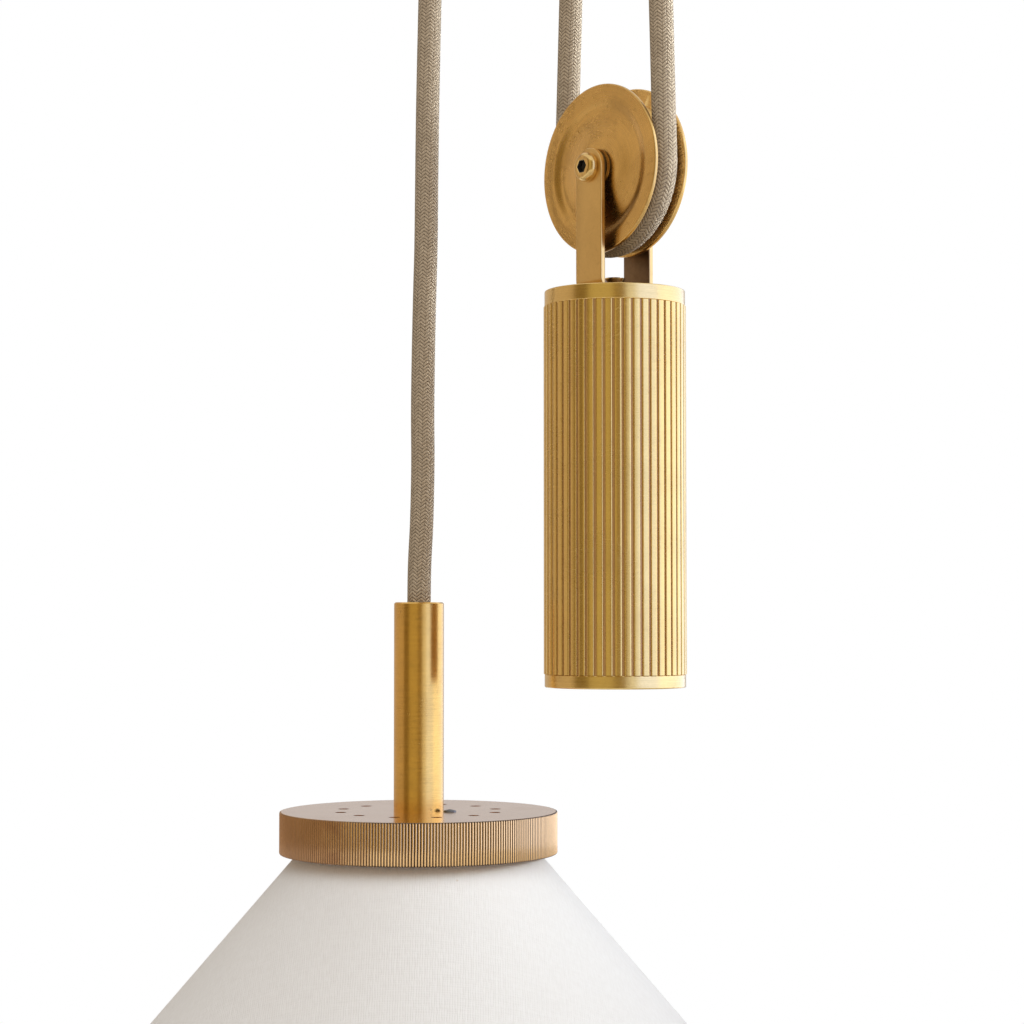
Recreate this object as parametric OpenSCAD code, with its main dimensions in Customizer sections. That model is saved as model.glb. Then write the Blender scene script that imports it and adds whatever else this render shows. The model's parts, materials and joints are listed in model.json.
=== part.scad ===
// Rise and fall pendant. A linen-shaded lamp hangs on a braided cord that runs up over a
// ceiling wheel, down under a travelling wheel and up again to a fixed grip. The travelling
// wheel carries a fluted brass counterweight that weighs twice the lamp, so the lamp stays
// wherever it is put.
// Lengths are millimetres. The origin is on the ceiling at the middle of the ceiling plate,
// +Z is up, +X is to the viewer's right and +Y is away from the viewer.

/* [Hanging heights] */
// From the ceiling down to the axle of the travelling wheel
travel_drop = 332; // [300:1:345]
// From the travelling wheel's axle down to the top of the lamp's stem
lamp_below = 153; // [145:1:190]
// Counterweight's axis, to the right of the middle of the ceiling plate
counter_x = 13; // [9:0.5:18]
// Ceiling wheel and fixed grip, each to its own side of the middle of the plate
anchor_x = 23.5; // [21:0.5:25]
// Sideways lean of the lamp's stretch of cord, from the ceiling wheel to the stem
lamp_lean = 7; // [0:0.5:8]

/* [Cord] */
// Diameter of the braided cord
cord_d = 8.5; // [7:0.1:8.8]
// Gap round the cord where it runs through a hole or a groove
cord_gap = 0.4; // [0.3:0.05:0.6]
// Diameter of each insulated lead inside the cord
lead_d = 2; // [1.6:0.1:2.2]

/* [Ceiling plate and canopy] */
// Gap between the ceiling plate's edge and the canopy's wall
plate_gap = 4.5; // [2:0.5:6]
// Thickness of the ceiling plate
plate_t = 3; // [2.5:0.1:4]
// Diameter of the circle of ceiling screws
ceiling_pcd = 90; // [86:1:96]
// Number of ceiling screws
ceiling_screws = 3; // [3:1:3]
// Diameter of each ceiling screw hole
ceiling_hole_d = 5; // [4:0.1:6]
// Diameter of the hole for the supply cable
cable_hole_d = 16; // [12:1:18]
// Outer diameter of the canopy
canopy_d = 130; // [128:1:140]
// Height of the canopy
canopy_h = 38; // [34:0.5:42]
// Wall thickness of the canopy
canopy_wall = 1.5; // [1:0.1:2]
// Outside corner radius of the canopy
canopy_round = 7; // [4:0.5:10]
// Diameter of the post that carries the ceiling yoke
yoke_post_d = 14; // [12:0.5:16]
// Diameter of the two posts that hold the canopy
canopy_post_d = 8; // [7:0.5:10]
// Distance of the canopy posts from the plate's edge
canopy_post_in = 9; // [7:0.5:12]

/* [Fixed grip and terminals] */
// Thread diameter of the cord grip
grip_thread_d = 14; // [13:0.5:15]
// Length of thread of the cord grip above the canopy's floor
grip_thread_h = 11; // [9:0.5:14]
// Width across flats of the collar and the nut of the cord grip
grip_flats = 19; // [18:0.5:20]
// Height of the collar of the cord grip
grip_collar_h = 4; // [3:0.5:6]
// Height of the tapered clamping cap of the cord grip
grip_cap_h = 12; // [10:0.5:15]
// Wall of the rubber sleeve inside the cord grip
grip_sleeve_t = 1.6; // [1.2:0.1:1.8]
// Length of the terminal block
block_w = 30; // [27:1:32]
// Depth of the terminal block
block_d = 16; // [14:1:18]
// Height of the terminal block
block_h = 13; // [11:1:15]
// Pitch of the three terminals
terminal_pitch = 9; // [8:0.5:9.5]

/* [Wheels] */
// Diameter of a wheel over its rims
wheel_d = 60; // [56:0.5:66]
// Width of a wheel over its rims
wheel_w = 15.5; // [15:0.1:18]
// How far the middle of the cord lies inside a wheel's rim
cord_inset = 3.5; // [3:0.1:4]
// Turn of the travelling wheel about the vertical
wheel_turn = 51; // [46:1:56]
// Sheet thickness of a spun flange
flange_t = 1.6; // [1.2:0.1:1.9]
// Width of the flat ring round a flange's edge
rim_w = 4.6; // [4:0.1:5]
// Depth of the step inside that ring
rim_step = 0.9; // [0.5:0.1:1.2]
// Half the width over the dished faces where they meet the hub
dish_face = 4.4; // [4:0.1:5]
// Radius of the hub's bosses
hub_r = 6.5; // [6:0.1:6.8]
// Outer radius of the bronze bush
bush_r = 5; // [4.5:0.1:5.3]
// Clear radius between the axle and its bush
running_gap = 0.05; // [0.03:0.01:0.08]

/* [Yokes and axles] */
// Diameter of an axle
axle_d = 6; // [5.5:0.1:6.5]
// Room between a wheel's rim and the outside of the yoke's bend
yoke_room = 13; // [11:0.5:18]
// Width of the yoke's strap
strap_w = 13.6; // [12:0.1:15]
// Thickness of the yoke's strap
strap_t = 2; // [1.6:0.1:2.4]
// Gap between a wheel's rim and each cheek of its yoke
cheek_gap = 2.55; // [2.3:0.05:3]
// Thickness of the washer on each side of a wheel
washer_t = 1.2; // [1:0.1:1.3]
// End play of a wheel between its washers, on each side
end_play = 0.1; // [0.05:0.01:0.15]
// Diameter of a button head
button_d = 10.5; // [9:0.1:11]
// Height of a button head
button_h = 3.3; // [2.8:0.1:3.6]
// Width across flats of a hex socket
socket_flats = 4; // [3:0.1:4.5]
// Width across flats of an axle nut
axle_nut_flats = 10; // [9:0.1:11]
// Height of an axle nut
axle_nut_h = 5; // [4:0.1:6]
// Thread diameter of a yoke screw
yoke_screw_d = 5; // [4.5:0.1:5.5]
// Diameter of a yoke screw's tapered head
yoke_head_d = 7.5; // [7:0.1:8.5]
// Height of a yoke screw's head
yoke_head_h = 2.7; // [2.2:0.1:3.2]

/* [Counterweight] */
// Diameter of the counterweight over its flutes
sleeve_d = 50.4; // [49:0.2:52]
// Length of the fluted sleeve
sleeve_h = 129.7; // [110:0.1:132]
// Wall thickness of the fluted sleeve
sleeve_wall = 2; // [1.6:0.1:2.4]
// Number of flutes
flutes = 48; // [24:1:60]
// Width of the groove between two flutes
flute_gap = 0.8; // [0.5:0.1:1.2]
// Depth of the groove between two flutes
flute_depth = 0.6; // [0.3:0.1:0.8]
// Height of the counterweight's top cap
top_cap_h = 5.6; // [4:0.1:7]
// Height of the counterweight's bottom cap
bottom_cap_h = 4.7; // [4:0.1:7]
// How far the caps' edges stand inside the flutes
cap_inset = 0.3; // [0.1:0.1:0.8]
// Height of the spigot by which a cap sits in the sleeve
spigot_h = 4; // [3:0.5:6]
// Diameter of the steel core, turned down until the counterweight weighs twice the lamp
core_d = 31.6; // [28:0.1:44]

/* [Stem and shade cap] */
// Outer diameter of the stem
stem_d = 18; // [17:0.5:20]
// Length of the stem
stem_h = 75; // [70:1:90]
// Bore of the stem
stem_bore = 13; // [12.6:0.1:14]
// Thickness of the stem's closed top
stem_top_t = 3; // [2:0.5:4]
// Outer diameter of the knurled shade cap
cap_d = 100; // [98:1:110]
// Height of the shade cap
cap_h = 15; // [13:0.5:18]
// Thickness of the shade cap's roof
cap_roof = 3; // [2:0.1:4]
// Thickness of the shade cap's rim
cap_wall = 4; // [3:0.1:4.5]
// Number of vent holes
vents = 12; // [6:1:16]
// Diameter of a vent hole
vent_d = 4; // [3:0.1:5]
// Diameter of the circle of vent holes
vent_pcd = 57; // [50:1:62]

/* [Lampholder] */
// Thread diameter of the hollow nipple
nipple_d = 10; // [9.5:0.1:10.5]
// Bore of the hollow nipple
nipple_bore = 7; // [6.4:0.1:7.5]
// Height of the nipple's lock nut
nipple_nut_h = 3; // [2.5:0.1:4]
// Width across flats of the nipple's lock nut
nipple_nut_flats = 14; // [13:0.5:16]
// Outer diameter of the lampholder's threaded skirt
holder_d = 39.5; // [38:0.1:40.5]
// Height of the lampholder's domed top
holder_top_h = 22; // [20:0.5:26]
// Height of the lampholder's skirt
holder_skirt_h = 30; // [27:0.5:34]
// Wall thickness of the lampholder
holder_wall = 1.8; // [1.4:0.1:2.2]
// Inner diameter of the threaded lamp socket
socket_d = 26.5; // [26:0.1:27]
// Depth of the threaded lamp socket
socket_h = 22; // [20:0.5:24]
// Wall thickness of the socket's shell
socket_wall = 0.8; // [0.5:0.1:1]
// Height of the shade ring
shade_ring_h = 6; // [5:0.5:8]
// Wall thickness of the shade ring
shade_ring_wall = 4.25; // [3.5:0.25:6]

/* [Shade] */
// How far the shade's top edge stands inside the cap's rim
shade_inset = 7; // [7:0.5:10]
// Outer diameter of the shade at its bottom edge
shade_bottom_d = 400; // [350:5:450]
// Height of the shade
shade_h = 186; // [170:1:200]
// How far the shade's top edge is hidden inside the cap
shade_tuck = 5; // [4:0.5:6]
// Thickness of the laminated linen, measured level
shade_wall = 1.6; // [1.2:0.1:2]
// Diameter of the shade's wires
wire_d = 3; // [2.5:0.1:3.5]
// Number of arms on the shade carrier
carrier_arms = 3; // [3:1:4]

/* [Hidden] */

// Fits that every joint of the pendant shares
thread_gap = 0.05;
slip_gap = 0.1;
part_gap = 0.3;
edge = 0.5;
// How far a cutter runs past what it cuts, and a hair for one that ends level with a face
over = 1;
hair = 0.001;

// Sizes that follow from others
plate_r = canopy_d / 2 - canopy_wall - plate_gap;
canopy_post_r = plate_r - canopy_post_in;
wheel_r = wheel_d / 2;
wheel_cord_r = wheel_r - cord_inset;
yoke_h = wheel_r + yoke_room;
yoke_gap = wheel_w + 2 * cheek_gap;
shade_ring_r = holder_d / 2 + shade_ring_wall;
shade_top_r = cap_d / 2 - cap_wall - shade_inset;

// Levels, all measured from the ceiling
canopy_floor_z = -canopy_h;
floor_top_z = canopy_floor_z + canopy_wall;
ceiling_axle_z = canopy_floor_z - yoke_h;
travel_axle_z = -travel_drop;
weight_top_z = travel_axle_z - yoke_h;
sleeve_top_z = weight_top_z - top_cap_h;
sleeve_bottom_z = sleeve_top_z - sleeve_h;
weight_bottom_z = sleeve_bottom_z - bottom_cap_h;
stem_top_z = travel_axle_z - lamp_below;
cap_top_z = stem_top_z - stem_h;
cap_bottom_z = cap_top_z - cap_h;
roof_under_z = cap_top_z - cap_roof;
holder_top_z = roof_under_z - nipple_nut_h;
skirt_top_z = holder_top_z - holder_top_h;
skirt_bottom_z = skirt_top_z - holder_skirt_h;
shade_top_z = cap_bottom_z + shade_tuck;
shade_bottom_z = shade_top_z - shade_h;

// Places in plan
anchor_y = wheel_cord_r * sin(wheel_turn);
lamp_x = -anchor_x - wheel_cord_r - lamp_lean;
strand_x = wheel_cord_r * cos(wheel_turn);
ceiling_wheel_at = [-anchor_x, anchor_y, ceiling_axle_z];
travel_wheel_at = [counter_x, 0, travel_axle_z];
grip_at = [anchor_x, -anchor_y];
post_angle = atan2(anchor_x, anchor_y);
post_h = -plate_t - floor_top_z;

// Wheel section, as radius and distance from the wheel's middle plane
rim_face = wheel_w / 2;
rim_in_r = wheel_r - rim_w;
groove_r = cord_d / 2 + cord_gap + part_gap;
groove_half = 4.6;
groove_lip_r = wheel_cord_r - sqrt(groove_r * groove_r - groove_half * groove_half);
hub_face = yoke_gap / 2 - washer_t - end_play;
dish_steps = 8;
groove_steps = 10;
yoke_bend = 1.5;

// Screws
post_screw_d = 4;
post_screw_head_d = 7.6;
post_screw_head_h = 1.8;
post_screw_h = 13;
post_thread_h = 12;
core_thread_h = 8;
core_tap_h = core_thread_h + 2;
canopy_screw_h = 10;
canopy_head_h = 2.6;
small_screw_d = 3;
block_head_r = 2.8;
head_side = 1;
head_fall = 0.22;
head_steps = 6;
slot_w = 1;
slot_depth = 1.2;
axle_tail = 1.5;
socket_depth = 2;

// Ceiling fitting
posts = [[-anchor_x, anchor_y], canopy_post_r * [cos(post_angle), sin(post_angle)],
         -canopy_post_r * [cos(post_angle), sin(post_angle)]];
grip_nut_h = 3;
grip_seat_r = cord_d / 2 + thread_gap + grip_sleeve_t + slip_gap;
grip_seat_h = 6;
grip_tail = 2;
grip_foot_z = canopy_floor_z - grip_collar_h - grip_seat_h - grip_tail + part_gap;
grip_h = floor_top_z + grip_thread_h - grip_foot_z;
grip_mouth_z = canopy_floor_z - grip_collar_h - grip_cap_h;
grip_cap_r = grip_flats / 2 - edge;
grip_cap_side = 4.8;
cord_tail = 2;
grip_cord_top_z = floor_top_z + grip_thread_h + cord_tail;
ceiling_earth_at = [-10, -30];
block_at = [12, 22];
block_screw_at = [block_at[0] + terminal_pitch / 2, block_at[1]];
terminal_z = -plate_t - block_h / 2;
terminal_r = lead_d / 2 + part_gap;
terminal_screw_h = block_h / 2 - lead_d / 2 - slip_gap;
lead_spread = 2.2;
lead_in = 3;
// How far along x, y and z each bend of a lead lies between the grip and its terminal
lead_route = [
    [0, 0, 0], [0, 0, 0.3], [0.05, 0.04, 0.6], [0.3, 0.2, 0.9], [0.7, 0.45, 1],
    [0.95, 0.7, 1], [1, 0.85, 1], [1, 1, 1]
];

// Counterweight
core_top_z = sleeve_top_z - spigot_h;
core_bottom_z = sleeve_bottom_z + spigot_h;
core_h = core_top_z - core_bottom_z;
bottom_head_r = yoke_screw_d;
bottom_screw_h = bottom_cap_h + spigot_h + core_thread_h;

// Stem, lampholder and shade carrier
clamp_h = 16;
clamp_drop = 2;
clamp_screw_z = stem_top_z - stem_top_t - clamp_drop - clamp_h / 2;
cord_past_clamp = 4;
cord_end_z = clamp_screw_z - clamp_h / 2 - cord_past_clamp;
stem_shoulder = 2;
nipple_in_stem = 10;
nipple_in_holder = 7;
earth_head_r = 2.4;
earth_angle = -24;
earth_at = (stem_d / 2 + earth_head_r + 1) * [cos(earth_angle), sin(earth_angle)];
earth_nut_flats = 5.5;
lead_end_up = 4;
lamp_lead_end_z = skirt_top_z + lead_end_up;
holder_neck_r = 9;
collar_h = 2;
collar_lip = 2.5;
collar_r = holder_d / 2 + collar_lip;
dome_steps = 6;
insert_lift = 1;
insert_base = 5;
shell_r = socket_d / 2 + socket_wall;
contact_r = 5;
contact_t = 1.2;
contact_rivet_r = 1.6;
rivet_proud = 1;
insert_r = holder_d / 2 - holder_wall - slip_gap;
carrier_ring_t = 1.5;
carrier_lip = 1;
arm_d = 2.4;
carrier_z = skirt_top_z - collar_h - carrier_ring_t;

// Shade cone: its outer radius at a level, and how far a wire stands off its inner face
shade_slope = (shade_bottom_d / 2 - shade_top_r) / shade_h;
wire_off = (wire_d / 2 + thread_gap) / cos(atan(shade_slope));
wire_in = 2.5;
function shade_r(z) = shade_top_r + (shade_top_z - z) * shade_slope;

// Cord route
cord_sides = 8;
turn_steps = 16;
// The lamp's stretch hangs in a slight curve: x offset from the stem's axis, then drop below
// the ceiling wheel's axle
lamp_strand = [
    [6.7, 15], [6.4, 35], [6.0, 55], [5.6, 75], [5.2, 95], [4.9, 115], [4.5, 135],
    [4.1, 155], [3.8, 175], [3.4, 195], [3.0, 215], [2.7, 235], [2.5, 255], [2.3, 275],
    [1.8, 295], [1.4, 315], [1.2, 335], [1.3, 355], [0.9, 375], [0.2, 390]
];
strand_pitch = 21;

// ---------------------------------------------------------------- shared shapes

function across(flats) = flats / cos(30);
function unit(v) = v / norm(v);
function mix(a, b, f) = a + (b - a) * f;
function arc(cx, cy, r, a0, a1, steps) =
    [for (i = [0:steps]) let (a = mix(a0, a1, i / steps)) [cx + r * cos(a), cy + r * sin(a)]];

// A solid of revolution about Z from [radius, height] points
module turned(points) {
    rotate_extrude($fn = 96)
        polygon(points);
}

module sleeve_of(r_out, r_in, h) {
    turned([[r_in, 0], [r_out, 0], [r_out, h], [r_in, h]]);
}

// A round bar, or the cutter of a round hole, from z up to z + h
module bar(r, z, h) {
    translate([0, 0, z])
        cylinder(r = r, h = h, $fn = 48);
}

module hex_bar(flats, h) {
    cylinder(d = across(flats), h = h, $fn = 6);
}

module hex_nut(flats, h, bore_r) {
    difference() {
        hex_bar(flats, h);
        bar(bore_r, -over, h + 2 * over);
    }
}

// A low domed head with a hex socket, standing on z = 0
module button_head(d, h, flats) {
    difference() {
        turned(concat(
            [[0, 0], [d / 2, 0]],
            [for (i = [0:head_steps]) let (a = 90 * i / head_steps)
                [d / 2 - (1 - cos(a)) * d * head_fall, head_side + sin(a) * (h - head_side)]],
            [[0, h]]));
        translate([0, 0, h - socket_depth])
            hex_bar(flats, h);
    }
}

// Lays a shape so that its own +Z points towards the viewer
module facing_viewer() {
    rotate([90, 0, 0])
        children();
}

module at_ceiling_wheel() {
    translate(ceiling_wheel_at)
        children();
}

module at_travel_wheel() {
    translate(travel_wheel_at)
        rotate([0, 0, -wheel_turn])
            children();
}

module at_weight(z) {
    translate([counter_x, 0, z])
        children();
}

module at_lamp(z) {
    translate([lamp_x, anchor_y, z])
        children();
}

module at_grip(z) {
    translate([grip_at[0], grip_at[1], z])
        children();
}

module at_posts(z, places) {
    for (place = places)
        translate([place[0], place[1], z])
            children();
}

// ---------------------------------------------------------------- cord

function along(points, i, first, last) =
    i == 0 ? first : i == len(points) - 1 ? last : unit(points[i + 1] - points[i - 1]);

// A round cord of diameter d through the points. Its end faces are square to first and last,
// and ref is never in line with it.
module cord_tube(points, d, ref, first, last) {
    n = len(points);
    rings = [for (i = [0:n - 1])
        let (t = along(points, i, first, last), u = unit(cross(t, ref)), v = cross(t, u))
        for (k = [0:cord_sides - 1]) let (a = 360 * k / cord_sides)
            points[i] + d / 2 * (cos(a) * u + sin(a) * v)];
    walls = [for (i = [0:n - 2]) for (k = [0:cord_sides - 1])
        let (a = i * cord_sides + k, b = i * cord_sides + (k + 1) % cord_sides)
        each [[a, a + cord_sides, b], [b, a + cord_sides, b + cord_sides]]];
    first_end = [[for (k = [0:cord_sides - 1]) k]];
    last_end = [[for (k = [cord_sides - 1:-1:0]) (n - 1) * cord_sides + k]];
    polyhedron(concat(rings), concat(walls, first_end, last_end));
}

// A straight stretch between two points, with a ring every strand_pitch or so
function straight(a, b) =
    let (n = max(2, round(norm(b - a) / strand_pitch)))
    [for (i = [0:n]) mix(a, b, i / n)];

// Half a turn in a wheel's groove, from its left side to its right; up is 1 over the top
function half_turn(at, turn, up) =
    [for (i = [0:turn_steps]) let (a = 180 * (1 - i / turn_steps))
        at + wheel_cord_r * [cos(a) * cos(turn), -cos(a) * sin(turn), up * sin(a)]];

// ---------------------------------------------------------------- wheel

// The dished face of a flange, from the hub out to the flat ring
function dish(r) =
    dish_face + (rim_face - rim_step - dish_face) * pow((r - hub_r) / (rim_in_r - hub_r), 2);
function hub_side(r) = dish(r) - flange_t - thread_gap;
function dish_r(i) = mix(hub_r, rim_in_r, i / dish_steps);
function core_r(i) = mix(hub_r, groove_lip_r, i / dish_steps);

// One spun flange: a dished sheet with a flat, rounded ring round its edge
module wheel_flange() {
    back = dish(rim_in_r) - flange_t;
    turned(concat(
        [for (i = [dish_steps:-1:0]) [dish_r(i), dish(dish_r(i)) - flange_t]],
        [for (i = [0:dish_steps]) [dish_r(i), dish(dish_r(i))]],
        [[rim_in_r + edge / 2, rim_face - edge / 2], [rim_in_r + 2 * edge, rim_face],
         [wheel_r - 2 * edge, rim_face], [wheel_r - edge / 2, rim_face - edge / 2],
         [wheel_r, rim_face - 2 * edge], [wheel_r, back + edge], [wheel_r - edge, back]]));
}

// The turned hub: the cord's groove between the flanges, and a boss on each side
module wheel_hub() {
    a = asin(groove_half / groove_r);
    turned(concat(
        [[bush_r, hub_face], [bush_r, -hub_face], [hub_r, -hub_face]],
        [for (i = [0:dish_steps]) [core_r(i), -hub_side(core_r(i))]],
        arc(wheel_cord_r, 0, groove_r, 180 + a, 180 - a, groove_steps),
        [for (i = [dish_steps:-1:0]) [core_r(i), hub_side(core_r(i))]],
        [[hub_r, hub_face]]));
}

module wheel_bush() {
    translate([0, 0, -hub_face])
        sleeve_of(bush_r, axle_d / 2 + running_gap, 2 * hub_face);
}

// ---------------------------------------------------------------- yoke and axle

// The outline of a U, open upwards, with rounded corners of radius r
module u_outline(w, r, z) {
    translate([-w / 2, z + r])
        square([w, yoke_h + strap_w]);
    translate([r - w / 2, z])
        square([w - 2 * r, 2 * r]);
    for (side = [-1, 1])
        translate([side * (w / 2 - r), z + r])
            circle(r = r, $fn = 48);
}

// A strap bent into a U that stands on z = 0, with its axle along Y
module yoke() {
    w = yoke_gap + 2 * strap_t;
    difference() {
        intersection() {
            rotate([90, 0, 90])
                linear_extrude(strap_w, center = true)
                    difference() {
                        u_outline(w, yoke_bend + strap_t, 0);
                        u_outline(yoke_gap, yoke_bend, strap_t);
                    }
            facing_viewer()
                linear_extrude(2 * w, center = true) {
                    translate([-strap_w / 2, -over])
                        square([strap_w, yoke_h + over]);
                    translate([0, yoke_h])
                        circle(d = strap_w, $fn = 64);
                }
        }
        bar(yoke_screw_d / 2 + slip_gap, -over, strap_t + 2 * over);
        translate([0, w, yoke_h])
            facing_viewer()
                cylinder(d = axle_d + 2 * slip_gap, h = 2 * w, $fn = 48);
    }
}

// A slotted screw with a tapered head on z = 0 and its shank pointing down
module yoke_screw(h) {
    difference() {
        turned([[0, 0], [yoke_screw_d / 2 + slip_gap, 0], [yoke_head_d / 2, yoke_head_h - edge],
                [yoke_head_d / 2 - edge / 2, yoke_head_h], [0, yoke_head_h]]);
        translate([-yoke_head_d, -slot_w / 2, yoke_head_h - slot_depth])
            cube([2 * yoke_head_d, slot_w, slot_depth + over]);
    }
    bar(yoke_screw_d / 2, -h, h);
}

module axle() {
    outside = yoke_gap / 2 + strap_t;
    translate([0, 0, outside])
        button_head(button_d, button_h, socket_flats);
    bar(axle_d / 2, -outside - axle_nut_h - axle_tail, 2 * outside + axle_nut_h + axle_tail);
}

module axle_nut() {
    translate([0, 0, -yoke_gap / 2 - strap_t - axle_nut_h])
        hex_nut(axle_nut_flats, axle_nut_h, axle_d / 2 + thread_gap);
}

module axle_washers() {
    for (side = [-1, 1])
        translate([0, 0, side * (yoke_gap / 2 - washer_t / 2) - washer_t / 2])
            sleeve_of(hub_r - edge, axle_d / 2 + slip_gap, washer_t);
}

// ---------------------------------------------------------------- ceiling fitting

// Steel plate that is screwed to the ceiling and carries everything else
module ceiling_plate() color("silver") difference() {
    translate([0, 0, -plate_t])
        cylinder(r = plate_r, h = plate_t, $fn = 96);
    bar(cable_hole_d / 2, -plate_t - over, plate_t + 2 * over);
    for (i = [0:ceiling_screws - 1])
        rotate([0, 0, 90 + 360 * i / ceiling_screws])
            translate([ceiling_pcd / 2, 0, 0])
                bar(ceiling_hole_d / 2, -plate_t - over, plate_t + 2 * over);
    at_posts(0, posts) {
        bar(post_screw_d / 2 + slip_gap, -plate_t - over, plate_t + 2 * over);
        countersink(slip_gap);
    }
    at_posts(0, [ceiling_earth_at])
        bar(post_screw_d / 2 + thread_gap, -plate_t - over, plate_t + 2 * over);
    at_posts(0, [block_screw_at])
        bar(small_screw_d / 2 + thread_gap, -plate_t - over, plate_t + 2 * over);
}

// The cone of a countersunk head whose top is level with z = 0
module countersink(gap) {
    translate([0, 0, -post_screw_head_h])
        cylinder(r1 = post_screw_d / 2 + gap, r2 = post_screw_head_d / 2 + gap,
                 h = post_screw_head_h + hair, $fn = 48);
}

module post_screws() color("silver") at_posts(0, posts) {
    turned([[0, -post_screw_h], [post_screw_d / 2, -post_screw_h],
            [post_screw_d / 2, -post_screw_head_h], [post_screw_head_d / 2, 0], [0, 0]]);
}

// A post between the plate and the canopy's floor, tapped at both ends
module post(d, floor_screw_r, floor_screw_h) {
    difference() {
        translate([0, 0, floor_top_z])
            cylinder(d = d, h = post_h, $fn = 48);
        bar(post_screw_d / 2 + thread_gap, -post_screw_h - over, post_screw_h);
        bar(floor_screw_r + thread_gap, floor_top_z - over, floor_screw_h + 2 * over);
    }
}

module yoke_post() color("silver") at_posts(0, [posts[0]])
    post(yoke_post_d, yoke_screw_d / 2, post_thread_h);

module canopy_posts() color("silver") at_posts(0, [posts[1], posts[2]])
    post(canopy_post_d, post_screw_d / 2, canopy_screw_h);

// Spun brass cup that covers the plate
module canopy() color("goldenrod") {
    r = canopy_d / 2;
    c = canopy_round;
    difference() {
        turned(concat(
            [[0, canopy_floor_z]],
            arc(r - c, canopy_floor_z + c, c, -90, 0, 8),
            [[r, 0], [r - canopy_wall, 0]],
            arc(r - c, canopy_floor_z + c, c - canopy_wall, 0, -90, 8),
            [[0, floor_top_z]]));
        at_posts(0, [posts[0]])
            bar(yoke_screw_d / 2 + slip_gap, canopy_floor_z - over, canopy_wall + 2 * over);
        at_posts(0, [posts[1], posts[2]])
            bar(post_screw_d / 2 + slip_gap, canopy_floor_z - over, canopy_wall + 2 * over);
        at_grip(0)
            bar(grip_thread_d / 2 + slip_gap, canopy_floor_z - over, canopy_wall + 2 * over);
    }
}

module canopy_screws() color("goldenrod")
    at_posts(canopy_floor_z, [posts[1], posts[2]])
        mirror([0, 0, 1]) {
            button_head(post_screw_head_d, canopy_head_h, small_screw_d);
            bar(post_screw_d / 2, -canopy_wall - canopy_screw_h, canopy_wall + canopy_screw_h);
        }

module ceiling_yoke() color("goldenrod") at_posts(canopy_floor_z, [posts[0]])
    mirror([0, 0, 1])
        yoke();

module ceiling_yoke_screw() color("goldenrod")
    at_posts(canopy_floor_z - strap_t, [posts[0]])
        mirror([0, 0, 1])
            yoke_screw(strap_t + canopy_wall + post_thread_h);

module ceiling_axle() color("goldenrod") at_ceiling_wheel() facing_viewer() axle();
module ceiling_axle_nut() color("goldenrod") at_ceiling_wheel() facing_viewer() axle_nut();
module ceiling_axle_washers() color("silver") at_ceiling_wheel() facing_viewer() axle_washers();
module ceiling_wheel_hub() color("peru") at_ceiling_wheel() facing_viewer() wheel_hub();
module ceiling_wheel_front() color("goldenrod") at_ceiling_wheel() facing_viewer()
    wheel_flange();
module ceiling_wheel_back() color("goldenrod") at_ceiling_wheel() facing_viewer()
    mirror([0, 0, 1])
        wheel_flange();
module ceiling_wheel_bush() color("sienna") at_ceiling_wheel() facing_viewer() wheel_bush();

// Gland through the canopy's floor that holds the cord's fixed end
module cord_grip() color("goldenrod") at_grip(grip_foot_z) difference() {
    union() {
        bar(grip_thread_d / 2, 0, grip_h);
        translate([0, 0, grip_seat_h + grip_tail - part_gap])
            hex_bar(grip_flats, grip_collar_h);
    }
    bar(cord_d / 2 + cord_gap, -over, grip_h + 2 * over);
    bar(grip_seat_r, -over, grip_seat_h + over);
}

module cord_grip_nut() color("goldenrod") at_grip(floor_top_z)
    hex_nut(grip_flats, grip_nut_h, grip_thread_d / 2 + thread_gap);

module cord_grip_sleeve() color("dimgray") at_grip(grip_foot_z)
    sleeve_of(grip_seat_r - slip_gap, cord_d / 2 + thread_gap, grip_seat_h);

// Tapered cap that squeezes the sleeve on to the cord
module cord_grip_cap() color("goldenrod") at_grip(grip_mouth_z)
    turned([[cord_d / 2 + cord_gap, 0], [grip_seat_r + edge, 0], [grip_cap_r, grip_cap_h - grip_cap_side],
            [grip_cap_r, grip_cap_h], [grip_thread_d / 2 + thread_gap, grip_cap_h],
            [grip_thread_d / 2 + thread_gap, grip_cap_h - grip_seat_h - grip_tail],
            [cord_d / 2 + cord_gap, grip_cap_h - grip_seat_h - grip_tail]]);

// Three-way block on the plate's underside
module terminal_block() color("white") difference() {
    translate([block_at[0] - block_w / 2, block_at[1] - block_d / 2, -plate_t - block_h])
        cube([block_w, block_d, block_h]);
    for (i = [-1:1])
        translate([block_at[0] + i * terminal_pitch, block_at[1], 0]) {
            translate([0, block_d, terminal_z])
                facing_viewer()
                    cylinder(r = terminal_r, h = 2 * block_d, $fn = 32);
            bar(small_screw_d / 2 + thread_gap, -plate_t - block_h - over, block_h / 2 + over);
        }
    at_posts(0, [block_screw_at])
        bar(small_screw_d / 2 + slip_gap, -plate_t - block_h - over, block_h + 2 * over);
}

module terminal_screws() color("silver")
    for (i = [-1:1])
        translate([block_at[0] + i * terminal_pitch, block_at[1], 0])
            bar(small_screw_d / 2, -plate_t - block_h, terminal_screw_h);

module block_screw() color("silver") at_posts(-plate_t - block_h, [block_screw_at]) {
    bar(small_screw_d / 2, 0, block_h + plate_t - edge);
    mirror([0, 0, 1])
        bar(block_head_r, 0, small_screw_d / 2);
}

module earth_screw() color("goldenrod") at_posts(-plate_t, [ceiling_earth_at]) {
    bar(post_screw_d / 2, 0, plate_t - edge);
    mirror([0, 0, 1])
        bar(post_screw_d, 0, post_screw_d / 2);
}

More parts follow.
